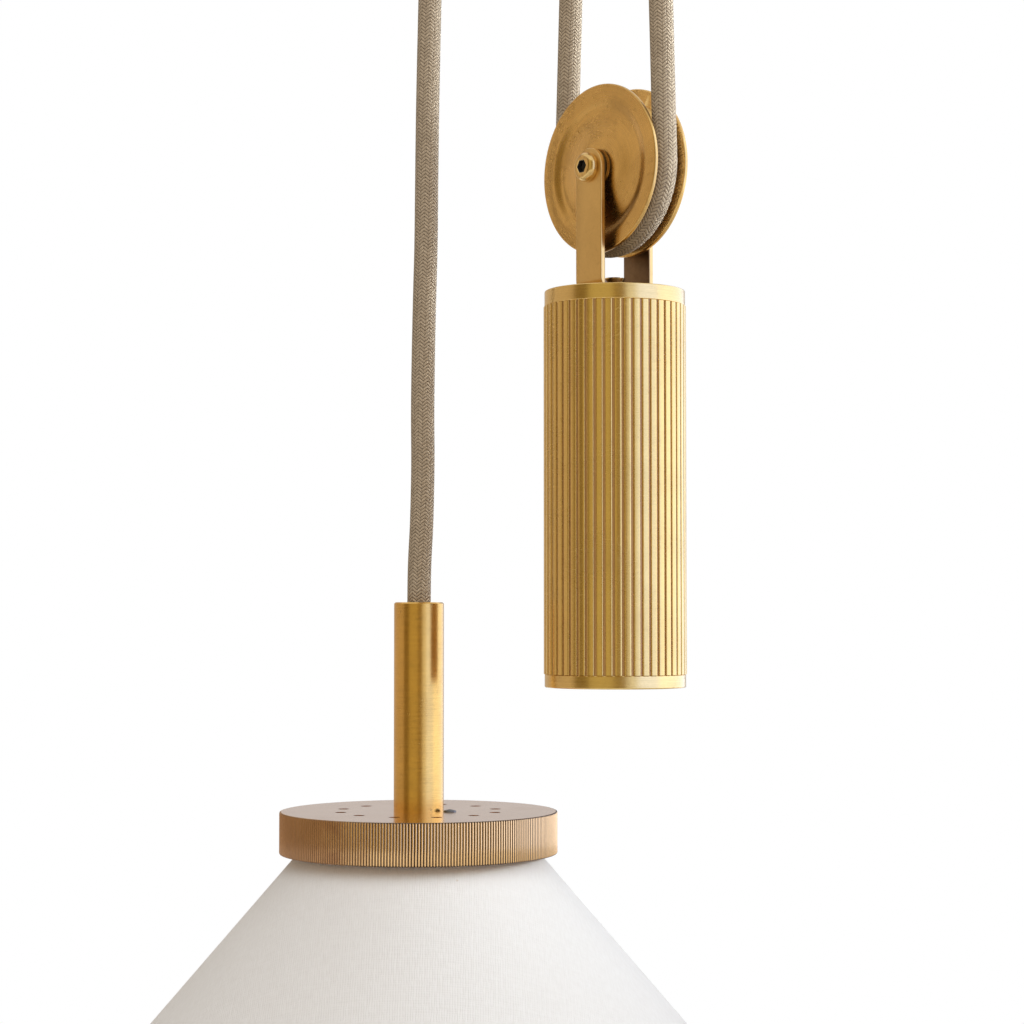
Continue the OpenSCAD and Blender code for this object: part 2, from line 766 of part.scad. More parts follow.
// The cord's three cores, from its fixed end to the terminals
module ceiling_leads() color("sienna")
    for (i = [-1:1]) {
        from = [grip_at[0] + i * lead_spread, grip_at[1], grip_cord_top_z];
        to = [block_at[0] + i * terminal_pitch, block_at[1] - block_d / 2 + lead_in, terminal_z];
        cord_tube([for (f = lead_route) [mix(from[0], to[0], f[0]), mix(from[1], to[1], f[1]),
                                         mix(from[2], to[2], f[2])]],
                  lead_d, [1, 0, 0], [0, 0, 1], [0, 1, 0]);
    }

// ---------------------------------------------------------------- cord, from grip to lamp

// It leaves the grip straight down and leans only below it
module cord_fixed_side() color("tan")
    cord_tube(concat([[grip_at[0], grip_at[1], grip_cord_top_z]],
                     straight([grip_at[0], grip_at[1], grip_mouth_z - cord_d],
                              [counter_x + strand_x, grip_at[1], travel_axle_z])),
              cord_d, [1, 0, 0], [0, 0, -1], [0, 0, -1]);

module cord_wheel_turn() color("tan")
    cord_tube(half_turn(travel_wheel_at, wheel_turn, -1),
              cord_d, [sin(wheel_turn), cos(wheel_turn), 0], [0, 0, -1], [0, 0, 1]);

module cord_lift_side() color("tan")
    cord_tube(straight([counter_x - strand_x, anchor_y, travel_axle_z],
                       [wheel_cord_r - anchor_x, anchor_y, ceiling_axle_z]),
              cord_d, [1, 0, 0], [0, 0, 1], [0, 0, 1]);

module cord_ceiling_turn() color("tan")
    cord_tube(half_turn(ceiling_wheel_at, 0, 1),
              cord_d, [0, 1, 0], [0, 0, 1], [0, 0, -1]);

module cord_lamp_side() color("tan")
    cord_tube(concat(
                  [[-anchor_x - wheel_cord_r, anchor_y, ceiling_axle_z]],
                  [for (p = lamp_strand) [lamp_x + p[0], anchor_y, ceiling_axle_z - p[1]]],
                  [[lamp_x, anchor_y, stem_top_z], [lamp_x, anchor_y, cord_end_z]]),
              cord_d, [1, 0, 0], [0, 0, -1], [0, 0, -1]);

// ---------------------------------------------------------------- travelling wheel and yoke

module travel_wheel_hub() color("peru") at_travel_wheel() facing_viewer() wheel_hub();
module travel_wheel_front() color("goldenrod") at_travel_wheel() facing_viewer()
    wheel_flange();
module travel_wheel_back() color("goldenrod") at_travel_wheel() facing_viewer()
    mirror([0, 0, 1])
        wheel_flange();
module travel_wheel_bush() color("sienna") at_travel_wheel() facing_viewer() wheel_bush();
module travel_axle() color("goldenrod") at_travel_wheel() facing_viewer() axle();
module travel_axle_nut() color("goldenrod") at_travel_wheel() facing_viewer() axle_nut();
module travel_axle_washers() color("silver") at_travel_wheel() facing_viewer() axle_washers();

module travel_yoke() color("goldenrod") at_weight(weight_top_z)
    rotate([0, 0, -wheel_turn])
        yoke();

module travel_yoke_screw() color("goldenrod") at_weight(weight_top_z + strap_t)
    rotate([0, 0, -wheel_turn])
        yoke_screw(strap_t + top_cap_h + spigot_h + core_thread_h);

// ---------------------------------------------------------------- counterweight

// A round cap that stands on z = 0 with its spigot below
module weight_cap(h) {
    r = sleeve_d / 2 - cap_inset;
    spigot_r = sleeve_d / 2 - sleeve_wall - slip_gap;
    turned([[0, -spigot_h], [spigot_r, -spigot_h], [spigot_r, 0], [r - edge / 2, 0],
            [r, edge / 2], [r, h - edge], [r - edge, h], [0, h]]);
}

module weight_top_cap() color("goldenrod") at_weight(sleeve_top_z) difference() {
    weight_cap(top_cap_h);
    bar(yoke_screw_d / 2 + slip_gap, -spigot_h - over, top_cap_h + spigot_h + 2 * over);
}

// Brass tube with straight grooves all round, its lands left proud
module weight_sleeve() color("darkgoldenrod") at_weight(sleeve_bottom_z)
    linear_extrude(sleeve_h)
        difference() {
            circle(d = sleeve_d, $fn = 96);
            circle(d = sleeve_d - 2 * sleeve_wall, $fn = 96);
            for (i = [0:flutes - 1])
                rotate([0, 0, 360 * (i + 0.5) / flutes])
                    translate([sleeve_d / 2 - flute_depth, -flute_gap / 2])
                        square([flute_depth + over, flute_gap]);
        }

// Steel bar that gives the counterweight its mass, tapped at both ends
module weight_core() color("dimgray") at_weight(core_bottom_z) difference() {
    cylinder(d = core_d, h = core_h, $fn = 96);
    bar(yoke_screw_d / 2 + thread_gap, core_h - core_tap_h, core_tap_h + over);
    bar(yoke_screw_d / 2 + thread_gap, -over, core_tap_h + over);
}

module weight_bottom_cap() color("goldenrod") at_weight(sleeve_bottom_z)
    mirror([0, 0, 1])
        difference() {
            weight_cap(bottom_cap_h);
            bar(yoke_screw_d / 2 + slip_gap, -spigot_h - over, bottom_cap_h + spigot_h + 2 * over);
            translate([0, 0, bottom_cap_h - yoke_head_h])
                cylinder(r1 = yoke_screw_d / 2 + slip_gap, r2 = bottom_head_r + slip_gap,
                         h = yoke_head_h + hair, $fn = 48);
        }

module weight_bottom_screw() color("goldenrod") at_weight(weight_bottom_z)
    mirror([0, 0, 1])
        difference() {
            turned([[0, -bottom_screw_h], [yoke_screw_d / 2, -bottom_screw_h],
                    [yoke_screw_d / 2, -yoke_head_h], [bottom_head_r, 0], [0, 0]]);
            translate([0, 0, -slot_depth])
                hex_bar(small_screw_d, slot_depth + over);
        }

// ---------------------------------------------------------------- stem and shade cap

module stem() color("goldenrod") at_lamp(cap_top_z) difference() {
    turned([[nipple_d / 2 + thread_gap, 0], [stem_d / 2, 0], [stem_d / 2, stem_h - edge],
            [stem_d / 2 - edge, stem_h], [cord_d / 2 + cord_gap, stem_h],
            [cord_d / 2 + cord_gap, stem_h - stem_top_t], [stem_bore / 2, stem_h - stem_top_t],
            [stem_bore / 2, nipple_in_stem + stem_shoulder],
            [nipple_d / 2 + thread_gap, nipple_in_stem + stem_shoulder]]);
    translate([0, stem_d, clamp_screw_z - cap_top_z])
        facing_viewer()
            cylinder(r = small_screw_d / 2 + thread_gap, h = stem_d, $fn = 32);
}

// Nylon bush that holds the cord inside the stem
module cord_clamp() color("ivory") at_lamp(clamp_screw_z - clamp_h / 2)
    sleeve_of(stem_bore / 2 - slip_gap, cord_d / 2 + thread_gap, clamp_h);

module clamp_screw() color("dimgray") at_lamp(clamp_screw_z)
    translate([0, stem_d / 2, 0])
        facing_viewer()
            difference() {
                cylinder(d = small_screw_d, h = (stem_d - stem_bore) / 2 + slip_gap, $fn = 32);
                translate([0, 0, -over])
                    hex_bar(small_screw_d / 2, small_screw_d / 2 + over);
            }

module lamp_leads() color("sienna")
    for (i = [0:2])
        at_lamp(lamp_lead_end_z)
            rotate([0, 0, 120 * i])
                translate([lead_spread, 0, 0])
                    bar(lead_d / 2, 0, cord_end_z - lamp_lead_end_z);

module stem_nipple() color("silver") at_lamp(holder_top_z - nipple_in_holder)
    sleeve_of(nipple_d / 2, nipple_bore / 2, cap_top_z + nipple_in_stem - holder_top_z
              + nipple_in_holder);

module nipple_nut() color("silver") at_lamp(holder_top_z)
    hex_nut(nipple_nut_flats, nipple_nut_h, nipple_d / 2 + thread_gap);

// Thick brass disc, hollow below, that hides the top of the shade
module shade_cap() color("peru") at_lamp(cap_bottom_z) difference() {
    turned([[nipple_d / 2 + slip_gap, cap_h - cap_roof], [cap_d / 2 - cap_wall, cap_h - cap_roof],
            [cap_d / 2 - cap_wall, 0], [cap_d / 2 - edge, 0], [cap_d / 2, edge],
            [cap_d / 2, cap_h - edge], [cap_d / 2 - edge, cap_h],
            [nipple_d / 2 + slip_gap, cap_h]]);
    for (i = [0:vents - 1])
        rotate([0, 0, 360 * (i + 0.5) / vents])
            translate([vent_pcd / 2, 0, 0])
                bar(vent_d / 2, -over, cap_h + 2 * over);
    translate([earth_at[0], earth_at[1], 0])
        bar(small_screw_d / 2 + slip_gap, -over, cap_h + 2 * over);
}

// Earthing screw of the shade cap, with its nut under the roof
module cap_earth_screw() color("silver") at_lamp(0)
    translate([earth_at[0], earth_at[1], 0]) {
        translate([0, 0, cap_top_z])
            turned([[0, 0], [earth_head_r, 0], [earth_head_r - edge / 2, edge], [0, 2 * edge]]);
        bar(small_screw_d / 2, roof_under_z - small_screw_d, cap_roof + small_screw_d);
        translate([0, 0, roof_under_z - small_screw_d + edge])
            hex_nut(earth_nut_flats, small_screw_d - edge, small_screw_d / 2 + thread_gap);
    }

// ---------------------------------------------------------------- lampholder

// A quarter dome from the neck radius r0 at z0 out to the radius r1, drop lower
function dome(r0, r1, z0, drop) =
    [for (i = [0:dome_steps]) let (a = 90 * i / dome_steps)
        [mix(r0, r1, sin(a)), z0 - drop * (1 - cos(a))]];

module holder_top() color("goldenrod") at_lamp(holder_top_z) {
    outer = dome(holder_neck_r, holder_d / 2 - edge, 0, holder_top_h / 2);
    inner = dome(holder_neck_r, holder_d / 2 - edge - holder_wall, -nipple_in_holder,
                 holder_top_h / 2 - holder_wall);
    turned(concat(
        [[nipple_d / 2 + thread_gap, 0]], outer,
        [[outer[dome_steps][0], -holder_top_h], [inner[dome_steps][0], -holder_top_h]],
        [for (i = [dome_steps:-1:0]) inner[i]],
        [[nipple_d / 2 + thread_gap, -nipple_in_holder]]));
}

// Threaded skirt with the collar that the shade carrier is clamped against
module holder_skirt() color("goldenrod") at_lamp(skirt_bottom_z)
    turned([[holder_d / 2 - holder_wall, 0], [holder_d / 2, 0],
            [holder_d / 2, holder_skirt_h - collar_h], [collar_r, holder_skirt_h - collar_h],
            [collar_r, holder_skirt_h], [holder_d / 2 - holder_wall, holder_skirt_h]]);

// Porcelain inner part: a cup for the threaded shell, with the contact through its base
module holder_insert() color("white") at_lamp(skirt_bottom_z + insert_lift)
    turned([[contact_rivet_r + slip_gap, socket_h + insert_base],
            [contact_rivet_r + slip_gap, socket_h + contact_t],
            [contact_r + slip_gap, socket_h + contact_t], [contact_r + slip_gap, socket_h],
            [shell_r + slip_gap, socket_h], [shell_r + slip_gap, 0],
            [insert_r, 0], [insert_r, socket_h + insert_base]]);

module socket_shell() color("gold") at_lamp(skirt_bottom_z + insert_lift)
    sleeve_of(shell_r, socket_d / 2, socket_h);

module socket_contact() color("gold") at_lamp(skirt_bottom_z + insert_lift + socket_h)
    turned([[0, 0], [contact_r, 0], [contact_r, contact_t], [contact_rivet_r, contact_t],
            [contact_rivet_r, insert_base + rivet_proud], [0, insert_base + rivet_proud]]);

module shade_ring() color("goldenrod") at_lamp(carrier_z - shade_ring_h)
    turned([[holder_d / 2 + thread_gap, 0], [shade_ring_r - edge, 0],
            [shade_ring_r, edge], [shade_ring_r, shade_ring_h],
            [holder_d / 2 + thread_gap, shade_ring_h]]);

// ---------------------------------------------------------------- shade

module ring_wire(z) {
    translate([0, 0, z])
        rotate_extrude($fn = 96)
            translate([shade_r(z) - shade_wall - wire_off, 0])
                circle(d = wire_d, $fn = 24);
}

// Welded wire frame: a flat ring on the lampholder, sloping arms and the shade's top ring
module shade_carrier() color("whitesmoke") at_lamp(0) {
    foot_z = carrier_z + carrier_ring_t - part_gap;
    top_z = shade_top_z - wire_in;
    rise = top_z - foot_z;
    reach = shade_r(top_z) - shade_wall - wire_off - shade_ring_r;
    translate([0, 0, carrier_z])
        sleeve_of(shade_ring_r + carrier_lip, holder_d / 2 + part_gap, carrier_ring_t);
    ring_wire(top_z);
    for (i = [0:carrier_arms - 1])
        rotate([0, 0, 90 + 360 * i / carrier_arms])
            translate([shade_ring_r, 0, foot_z])
                rotate([0, atan2(reach, rise), 0])
                    cylinder(d = arm_d, h = norm([reach, rise]), $fn = 24);
}

// Cone of linen laminated on a stiff translucent backing
module shade() color("linen") at_lamp(0)
    turned([[shade_r(shade_top_z) - shade_wall, shade_top_z], [shade_r(shade_top_z), shade_top_z],
            [shade_r(shade_bottom_z), shade_bottom_z],
            [shade_r(shade_bottom_z) - shade_wall, shade_bottom_z]]);

module shade_bottom_wire() color("whitesmoke") at_lamp(0)
    ring_wire(shade_bottom_z + wire_in);

ceiling_plate();
post_screws();
yoke_post();
canopy_posts();
canopy();
canopy_screws();
ceiling_yoke();
ceiling_yoke_screw();
ceiling_axle();
ceiling_axle_nut();
ceiling_axle_washers();
ceiling_wheel_hub();
ceiling_wheel_front();
ceiling_wheel_back();
ceiling_wheel_bush();
cord_grip();
cord_grip_nut();
cord_grip_sleeve();
cord_grip_cap();
terminal_block();
terminal_screws();
block_screw();
earth_screw();
ceiling_leads();
cord_fixed_side();
cord_wheel_turn();
cord_lift_side();
cord_ceiling_turn();
cord_lamp_side();
travel_wheel_hub();
travel_wheel_front();
travel_wheel_back();
travel_wheel_bush();
travel_axle();
travel_axle_nut();
travel_axle_washers();
travel_yoke();
travel_yoke_screw();
weight_top_cap();
weight_sleeve();
weight_core();
weight_bottom_cap();
weight_bottom_screw();
stem();
cord_clamp();
clamp_screw();
lamp_leads();
stem_nipple();
shade_cap();
cap_earth_screw();
nipple_nut();
holder_top();
holder_skirt();
holder_insert();
socket_shell();
socket_contact();
shade_ring();
shade_carrier();
shade();
shade_bottom_wire();
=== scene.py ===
# Rise and fall pendant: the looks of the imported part. Lengths are in metres, and MM turns
# millimetres into them. The sections follow the lamp as it is put together, from the ceiling down.
import json
import math

import bpy
from mathutils import Matrix, Vector


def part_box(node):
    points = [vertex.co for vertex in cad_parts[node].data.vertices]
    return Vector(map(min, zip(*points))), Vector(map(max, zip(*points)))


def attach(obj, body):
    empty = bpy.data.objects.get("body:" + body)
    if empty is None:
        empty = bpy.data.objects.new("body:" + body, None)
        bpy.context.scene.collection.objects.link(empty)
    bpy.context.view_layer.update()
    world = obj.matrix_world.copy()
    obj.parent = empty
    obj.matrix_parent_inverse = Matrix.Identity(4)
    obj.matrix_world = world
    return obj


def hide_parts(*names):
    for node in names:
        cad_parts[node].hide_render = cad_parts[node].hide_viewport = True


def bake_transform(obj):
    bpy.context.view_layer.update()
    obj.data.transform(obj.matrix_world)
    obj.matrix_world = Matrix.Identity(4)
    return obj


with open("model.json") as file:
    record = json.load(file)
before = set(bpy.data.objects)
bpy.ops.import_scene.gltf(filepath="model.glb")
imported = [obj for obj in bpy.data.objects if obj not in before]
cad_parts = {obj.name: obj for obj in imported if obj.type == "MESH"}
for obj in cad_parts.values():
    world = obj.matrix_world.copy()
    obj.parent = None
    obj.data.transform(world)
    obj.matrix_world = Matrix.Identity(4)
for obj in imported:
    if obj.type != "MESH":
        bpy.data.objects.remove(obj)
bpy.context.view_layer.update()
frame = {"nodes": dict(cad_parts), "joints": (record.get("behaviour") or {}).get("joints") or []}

MM = 0.001


# ---- Studio -------------------------------------------------------------------------------
# A white room with a pale floor. The camera stands 0.8 m in front of the lamp, level with the
# counterweight and tipped up a little, so the ceiling fitting and the shade's mouth are cropped.

CAMERA_AT = (-0.0234, -0.8338, -0.488)
CAMERA_TIP = 92.39  # degrees from looking straight down
CAMERA_LENS = 83.04  # millimetres, as is the sensor's width
CAMERA_SENSOR = 36
ROOM_LIGHT = 0.43  # how bright the room is for matt surfaces, where 1 is white
ROOM_TINT = (1, 0.90, 0.79, 1)
WHITE = (1, 1, 1, 1)
FLOOR_Z = -1.05
FLOOR_R = 1.4
FLOOR_SIDES = 64
FLOOR_FADE = (0.5, 0.95 * FLOOR_R)  # radii between which the floor turns white

scene = bpy.context.scene
scene.view_settings.view_transform = "Standard"


def shown(name, data):
    """A new object in the scene."""
    made = bpy.data.objects.new(name, data)
    scene.collection.objects.link(made)
    return made


camera = shown("camera", bpy.data.cameras.new("camera"))
camera.location = CAMERA_AT
camera.rotation_euler = (math.radians(CAMERA_TIP), 0, 0)
camera.data.lens = CAMERA_LENS
camera.data.sensor_width = CAMERA_SENSOR
scene.camera = camera


def node(tree, kind, inputs=(), **settings):
    """Adds a shader node, sets it up, and links or sets its inputs by name or number."""
    made = tree.nodes.new("ShaderNode" + kind)
    for name, value in settings.items():
        setattr(made, name, value)
    for name, value in dict(inputs).items():
        if isinstance(value, bpy.types.NodeSocket):
            tree.links.new(value, made.inputs[name])
        else:
            made.inputs[name].default_value = value
    return made


def sums(tree, operation, *values, clamp=False):
    """One arithmetic step on values or sockets, and its result as a socket."""
    return node(tree, "Math", dict(enumerate(values)), operation=operation, use_clamp=clamp).outputs[0]


def seen_directly(tree):
    """1 for what the camera sees straight, or in metal or glass, and 0 for light on matt surfaces."""
    rays = node(tree, "LightPath").outputs
    mirrored = sums(tree, "ADD", rays["Is Glossy Ray"], rays["Is Transmission Ray"])
    return sums(tree, "ADD", rays["Is Camera Ray"], mirrored, clamp=True)


room = bpy.data.worlds.new("white_room")
scene.world = room
room.use_nodes = True
tree = room.node_tree
tree.nodes.clear()
plain = node(tree, "Background", {"Color": ROOM_TINT, "Strength": ROOM_LIGHT})
white = node(tree, "Background", {"Color": WHITE, "Strength": 1})
both = node(tree, "MixShader", {0: seen_directly(tree), 1: plain.outputs[0], 2: white.outputs[0]})
node(tree, "OutputWorld", {0: both.outputs[0]})


def material(name):
    """A new material and its empty node tree."""
    made = bpy.data.materials.new(name)
    made.use_nodes = True
    made.node_tree.nodes.clear()
    return made, made.node_tree


def mesh_of(name, points, faces, sharp=40):
    """A smooth mesh whose edges stay sharp where its faces meet at more than that many degrees."""
    mesh = bpy.data.meshes.new(name)
    mesh.from_pydata(points, [], faces)
    mesh.validate()
    mesh.shade_smooth()
    mesh.set_sharp_from_angle(angle=math.radians(sharp))
    return mesh


def circle(r, sides):
    """Points at even angles round the origin, from its +X side on."""
    angles = [2 * math.pi * k / sides for k in range(sides)]
    return [(r * math.cos(a), r * math.sin(a)) for a in angles]


def own_place(tree):
    """A point's place in its piece's own frame, in metres."""
    return node(tree, "TexCoord").outputs["Object"]


def noise(tree, place, scale, detail=2, flat=False, **more):
    """A cloudy pattern from 0 to 1, in space or in a plane."""
    inputs = {"Vector": place, "Scale": scale, "Detail": detail, **more}
    return node(tree, "TexNoise", inputs, noise_dimensions="2D" if flat else "3D").outputs["Fac"]


def ramp(tree, value, start, end, low=0, high=1, **settings):
    """Runs from low to high as the value goes from start to end, and stays level outside them."""
    inputs = {"Value": value, "From Min": start, "From Max": end, "To Min": low, "To Max": high}
    return node(tree, "MapRange", inputs, **settings).outputs[0]


# Paper floor, white towards its edge so that it runs into the room, with the lamp's shadow on it
paper, tree = material("paper_floor")
place = own_place(tree)
reach = node(tree, "VectorMath", {0: place}, operation="LENGTH").outputs["Value"]
tone = ramp(tree, noise(tree, place, 300), 0, 1, 0.80, 0.84)
tint = node(tree, "CombineColor", {0: tone, 1: tone, 2: tone}).outputs[0]
matt = node(tree, "BsdfDiffuse", {"Color": tint})
glow = node(tree, "Emission", {"Color": WHITE, "Strength": 1})
edge = ramp(tree, reach, *FLOOR_FADE, interpolation_type="SMOOTHSTEP")
lit = sums(tree, "MULTIPLY", edge, seen_directly(tree))
both = node(tree, "MixShader", {0: lit, 1: matt.outputs[0], 2: glow.outputs[0]})
node(tree, "OutputMaterial", {0: both.outputs[0]})
ring = [(x, y, 0) for x, y in circle(FLOOR_R, FLOOR_SIDES)]
floor = shown("floor", mesh_of("floor", ring, [range(FLOOR_SIDES)]))
floor.location.z = FLOOR_Z
floor.data.materials.append(paper)

# Upright cards round the lamp, which only its metal mirrors: warm ones on the left and in front, a
# white window on the right. Each has its angles, from the camera's side towards the right, and its
# light in red, green and blue.
CARDS = [(-168, -72, (0.66, 0.54, 0.40)), (-72, -46, (0.27, 0.19, 0.07)), (-46, -4, (0.62, 0.52, 0.26)),
         (-4, 16, (0.33, 0.23, 0.07)), (16, 34, (0.95, 1.0, 1.1)), (34, 72, (1.25, 1.5, 2.5)),
         (72, 150, (1.6, 1.8, 2.4)), (150, 192, (0.60, 0.61, 0.66))]
CARD_R = 1.9
CARD_Z = (-1.0, 1.2)
CARD_STEPS = 8
for i, (start, end, light) in enumerate(CARDS):
    steps = [math.radians(start + (end - start) * k / CARD_STEPS) for k in range(CARD_STEPS + 1)]
    points = [(CARD_R * math.sin(a), -CARD_R * math.cos(a), z) for a in steps for z in CARD_Z]
    faces = [(2 * k, 2 * k + 2, 2 * k + 3, 2 * k + 1) for k in range(CARD_STEPS)]
    card = shown(f"card_{i}", mesh_of("card", points, faces))
    surface, tree = material(f"card_{i}")
    glow = node(tree, "Emission", {"Color": (*light, 1), "Strength": 1})
    node(tree, "OutputMaterial", {0: glow.outputs[0]})
    card.data.materials.append(surface)
    card.visible_camera = card.visible_diffuse = card.visible_shadow = False


def softbox(name, at, aim, size, power, colour=(1, 1, 1), spread=180):
    """A rectangular area lamp that points at a place. Its grid keeps the light within the spread."""
    made = shown(name, bpy.data.lights.new(name, "AREA"))
    made.data.shape = "RECTANGLE"
    made.data.size, made.data.size_y = size
    made.data.energy = power
    made.data.color = colour
    made.data.spread = math.radians(spread)
    made.location = at
    made.rotation_euler = (Vector(aim) - Vector(at)).to_track_quat("-Z", "Y").to_euler()
    made.visible_glossy = made.visible_camera = False


# The window's light falls on the cord and hardly on the shade; the other lamp lights the shade
softbox("softbox_right", at=(1.35, 0.1, 0), aim=(0, 0, -0.03), size=(1.2, 0.5), power=7.6,
        colour=(0.80, 0.90, 1.0), spread=54)
softbox("softbox_over", at=(0.2, -1.0, 1.1), aim=(0, 0, -0.6), size=(2.2, 2.2), power=29)


# ---- Cord ---------------------------------------------------------------------------------
# Round three-core cord in a natural braid, 8.5 mm thick. Its fixed end sits in the ceiling grip.
# It carries the counterweight's wheel, goes up over the ceiling wheel and down into the stem.

CORD_D = 8.5 * MM
CORD_LEG_R = 26.5 * MM  # the cord's centre line on either wheel
RING_GAP = 1.2 * MM  # distance between the tube's rings
CORD_SIDES = 36
TURN_STEPS = 24
CURVE_STEPS = 12  # between two of the curve's points
BRAID_TWIST = 0.5  # turns per metre that the braid winds round the cord
BRAID_COLUMNS = 32
STITCH = 1.3 * MM
TRAVEL_AXLE = Vector((13, 0, -332)) * MM
CEILING_AXLE = Vector((-23.5, 20.594, -81)) * MM
LAMP_X = -57 * MM
STEM_TOP_Z = -485 * MM
CORD_END_Z = -510 * MM
GRIP_AT = Vector((23.5, -20.594, -23.5)) * MM  # the cord's fixed end
GRIP_END_Z = -62.5 * MM
# How far the lamp's strand stands off the lamp's axis, and how far below the ceiling wheel
LAMP_STRAND = [
    (6.7, 15), (6.4, 35), (6.0, 55), (5.6, 75), (5.2, 95), (4.9, 115), (4.5, 135), (4.1, 155),
    (3.8, 175), (3.4, 195), (3.0, 215), (2.7, 235), (2.5, 255), (2.3, 275), (1.8, 295),
    (1.4, 315), (1.2, 335), (1.3, 355), (0.9, 375), (0.2, 390)]

travel_axis = next(j["axis"] for j in frame["joints"] if j["name"] == "travel_wheel_spin")
WHEEL_TURN = math.atan2(travel_axis[0], travel_axis[1])


def half_turn(centre, turn, up):
    """The cord's half circle on a wheel, from its right side to its left."""
    angles = [math.pi * i / TURN_STEPS for i in range(TURN_STEPS + 1)]
    across = Vector((math.cos(turn), -math.sin(turn), 0))
    return [centre + CORD_LEG_R * (math.cos(a) * across + up * math.sin(a) * Vector((0, 0, 1)))
            for a in angles]


strand_y = CEILING_AXLE.y
fixed_side = [GRIP_AT, Vector((GRIP_AT.x, GRIP_AT.y, GRIP_END_Z))]
wheel_turn = half_turn(TRAVEL_AXLE, WHEEL_TURN, -1)
ceiling_turn = half_turn(CEILING_AXLE, 0, 1)
lamp_side = [Vector((LAMP_X + x * MM, strand_y, CEILING_AXLE.z - drop * MM)) for x, drop in LAMP_STRAND]
lamp_side += [Vector((LAMP_X, strand_y, STEM_TOP_Z)), Vector((LAMP_X, strand_y, CORD_END_Z))]


def smooth(points, gap):
    """Points at even distances along a soft curve through the given ones."""
    ends = [2 * points[0] - points[1]] + points + [2 * points[-1] - points[-2]]
    fine = []
    for a, b, c, d in zip(ends, ends[1:], ends[2:], ends[3:]):
        for k in range(CURVE_STEPS):
            t = k / CURVE_STEPS
            fine.append(b + t * (c - a) / 2 + t * t * (a - 2.5 * b + 2 * c - d / 2)
                        + t ** 3 * (1.5 * (b - c) + (d - a) / 2))
    fine.append(points[-1])
    lengths = [0]
    for a, b in zip(fine, fine[1:]):
        lengths.append(lengths[-1] + (b - a).length)
    count = round(lengths[-1] / gap)
    even, k = [], 0
    for i in range(count + 1):
        want = lengths[-1] * i / count
        while k < len(fine) - 2 and lengths[k + 1] < want:
            k += 1
        even.append(fine[k].lerp(fine[k + 1], (want - lengths[k]) / (lengths[k + 1] - lengths[k])))
    return even


def straight(a, b, gap):
    """Points at even distances from a to b, without a."""
    count = max(1, round((b - a).length / gap))
    return [a.lerp(b, (i + 1) / count) for i in range(count)]


# The cord from the grip to the top of the lamp's strand, and the strand itself
line = [fixed_side[0]]
for stop in fixed_side[1:] + [wheel_turn[0]]:
    line += straight(line[-1], stop, RING_GAP)
line += smooth(wheel_turn, RING_GAP)[1:]
line += straight(line[-1], ceiling_turn[0], RING_GAP)
line += smooth(ceiling_turn, RING_GAP)[1:]
junction = len(line) - 1
line += smooth([line[-1]] + lamp_side, RING_GAP)[1:]


def walls(rings, sides, closed=False, flipped=False):
    """Faces between rings of points. Where the last ring doesn't meet the first, both ends are shut."""
    faces = []
    for i in range(rings if closed else rings - 1):
        here, there = i * sides, (i + 1) % rings * sides
        faces += [(here + k, here + (k + 1) % sides, there + (k + 1) % sides, there + k)
                  for k in range(sides)]
    if flipped:
        faces = [(a, d, c, b) for a, b, c, d in faces]
    if not closed:
        ends = [tuple(reversed(range(sides))), tuple((rings - 1) * sides + k for k in range(sides))]
        faces += [end[::-1] for end in ends] if flipped else ends
    return faces


def braided_tube(name, line, start, first_side):
    """A closed tube along the line, with its own map of turns round it and metres along it."""
    side, distance, points, along, last = first_side, start, [], [], len(line) - 1
    for i, p in enumerate(line):
        ahead = (line[min(i + 1, last)] - line[max(i - 1, 0)]).normalized()
        side = (side - side.dot(ahead) * ahead).normalized()
        if i:
            distance += (p - line[i - 1]).length
        twist = 2 * math.pi * BRAID_TWIST * distance
        other = ahead.cross(side)
        for k in range(CORD_SIDES):
            a = 2 * math.pi * k / CORD_SIDES + twist
            points.append(p + CORD_D / 2 * (math.cos(a) * side + math.sin(a) * other))
        along.append(distance)
    mesh = mesh_of(name, points, walls(len(line), CORD_SIDES), sharp=60)
    marks = mesh.uv_layers.new(name="braid").data
    for f in mesh.polygons[:last * CORD_SIDES]:
        i, k = divmod(f.index, CORD_SIDES)
        for loop, (u, v) in zip(f.loop_indices, [(k, i), (k + 1, i), (k + 1, i + 1), (k, i + 1)]):
            marks[loop].uv = (u / CORD_SIDES, along[v])
    return shown(name, mesh), side, distance


def group(name, inputs, outputs):
    """An empty shader node group with named inputs, each with its start value, and outputs."""
    tree = bpy.data.node_groups.new(name, "ShaderNodeTree")
    kinds = {float: "NodeSocketFloat", tuple: "NodeSocketColor", Vector: "NodeSocketVector"}
    for label, value in inputs.items():
        made = tree.interface.new_socket(label, in_out="INPUT", socket_type=kinds[type(value)])
        made.default_value = value
    for label, kind in outputs.items():
        tree.interface.new_socket(label, in_out="OUTPUT", socket_type=kinds[kind])
    return tree, tree.nodes.new("NodeGroupInput").outputs, tree.nodes.new("NodeGroupOutput")


def close_group(tree, end, **results):
    """Links the group's results to its outputs."""
    for label, socket in results.items():
        tree.links.new(socket, end.inputs[label.replace("_", " ")])


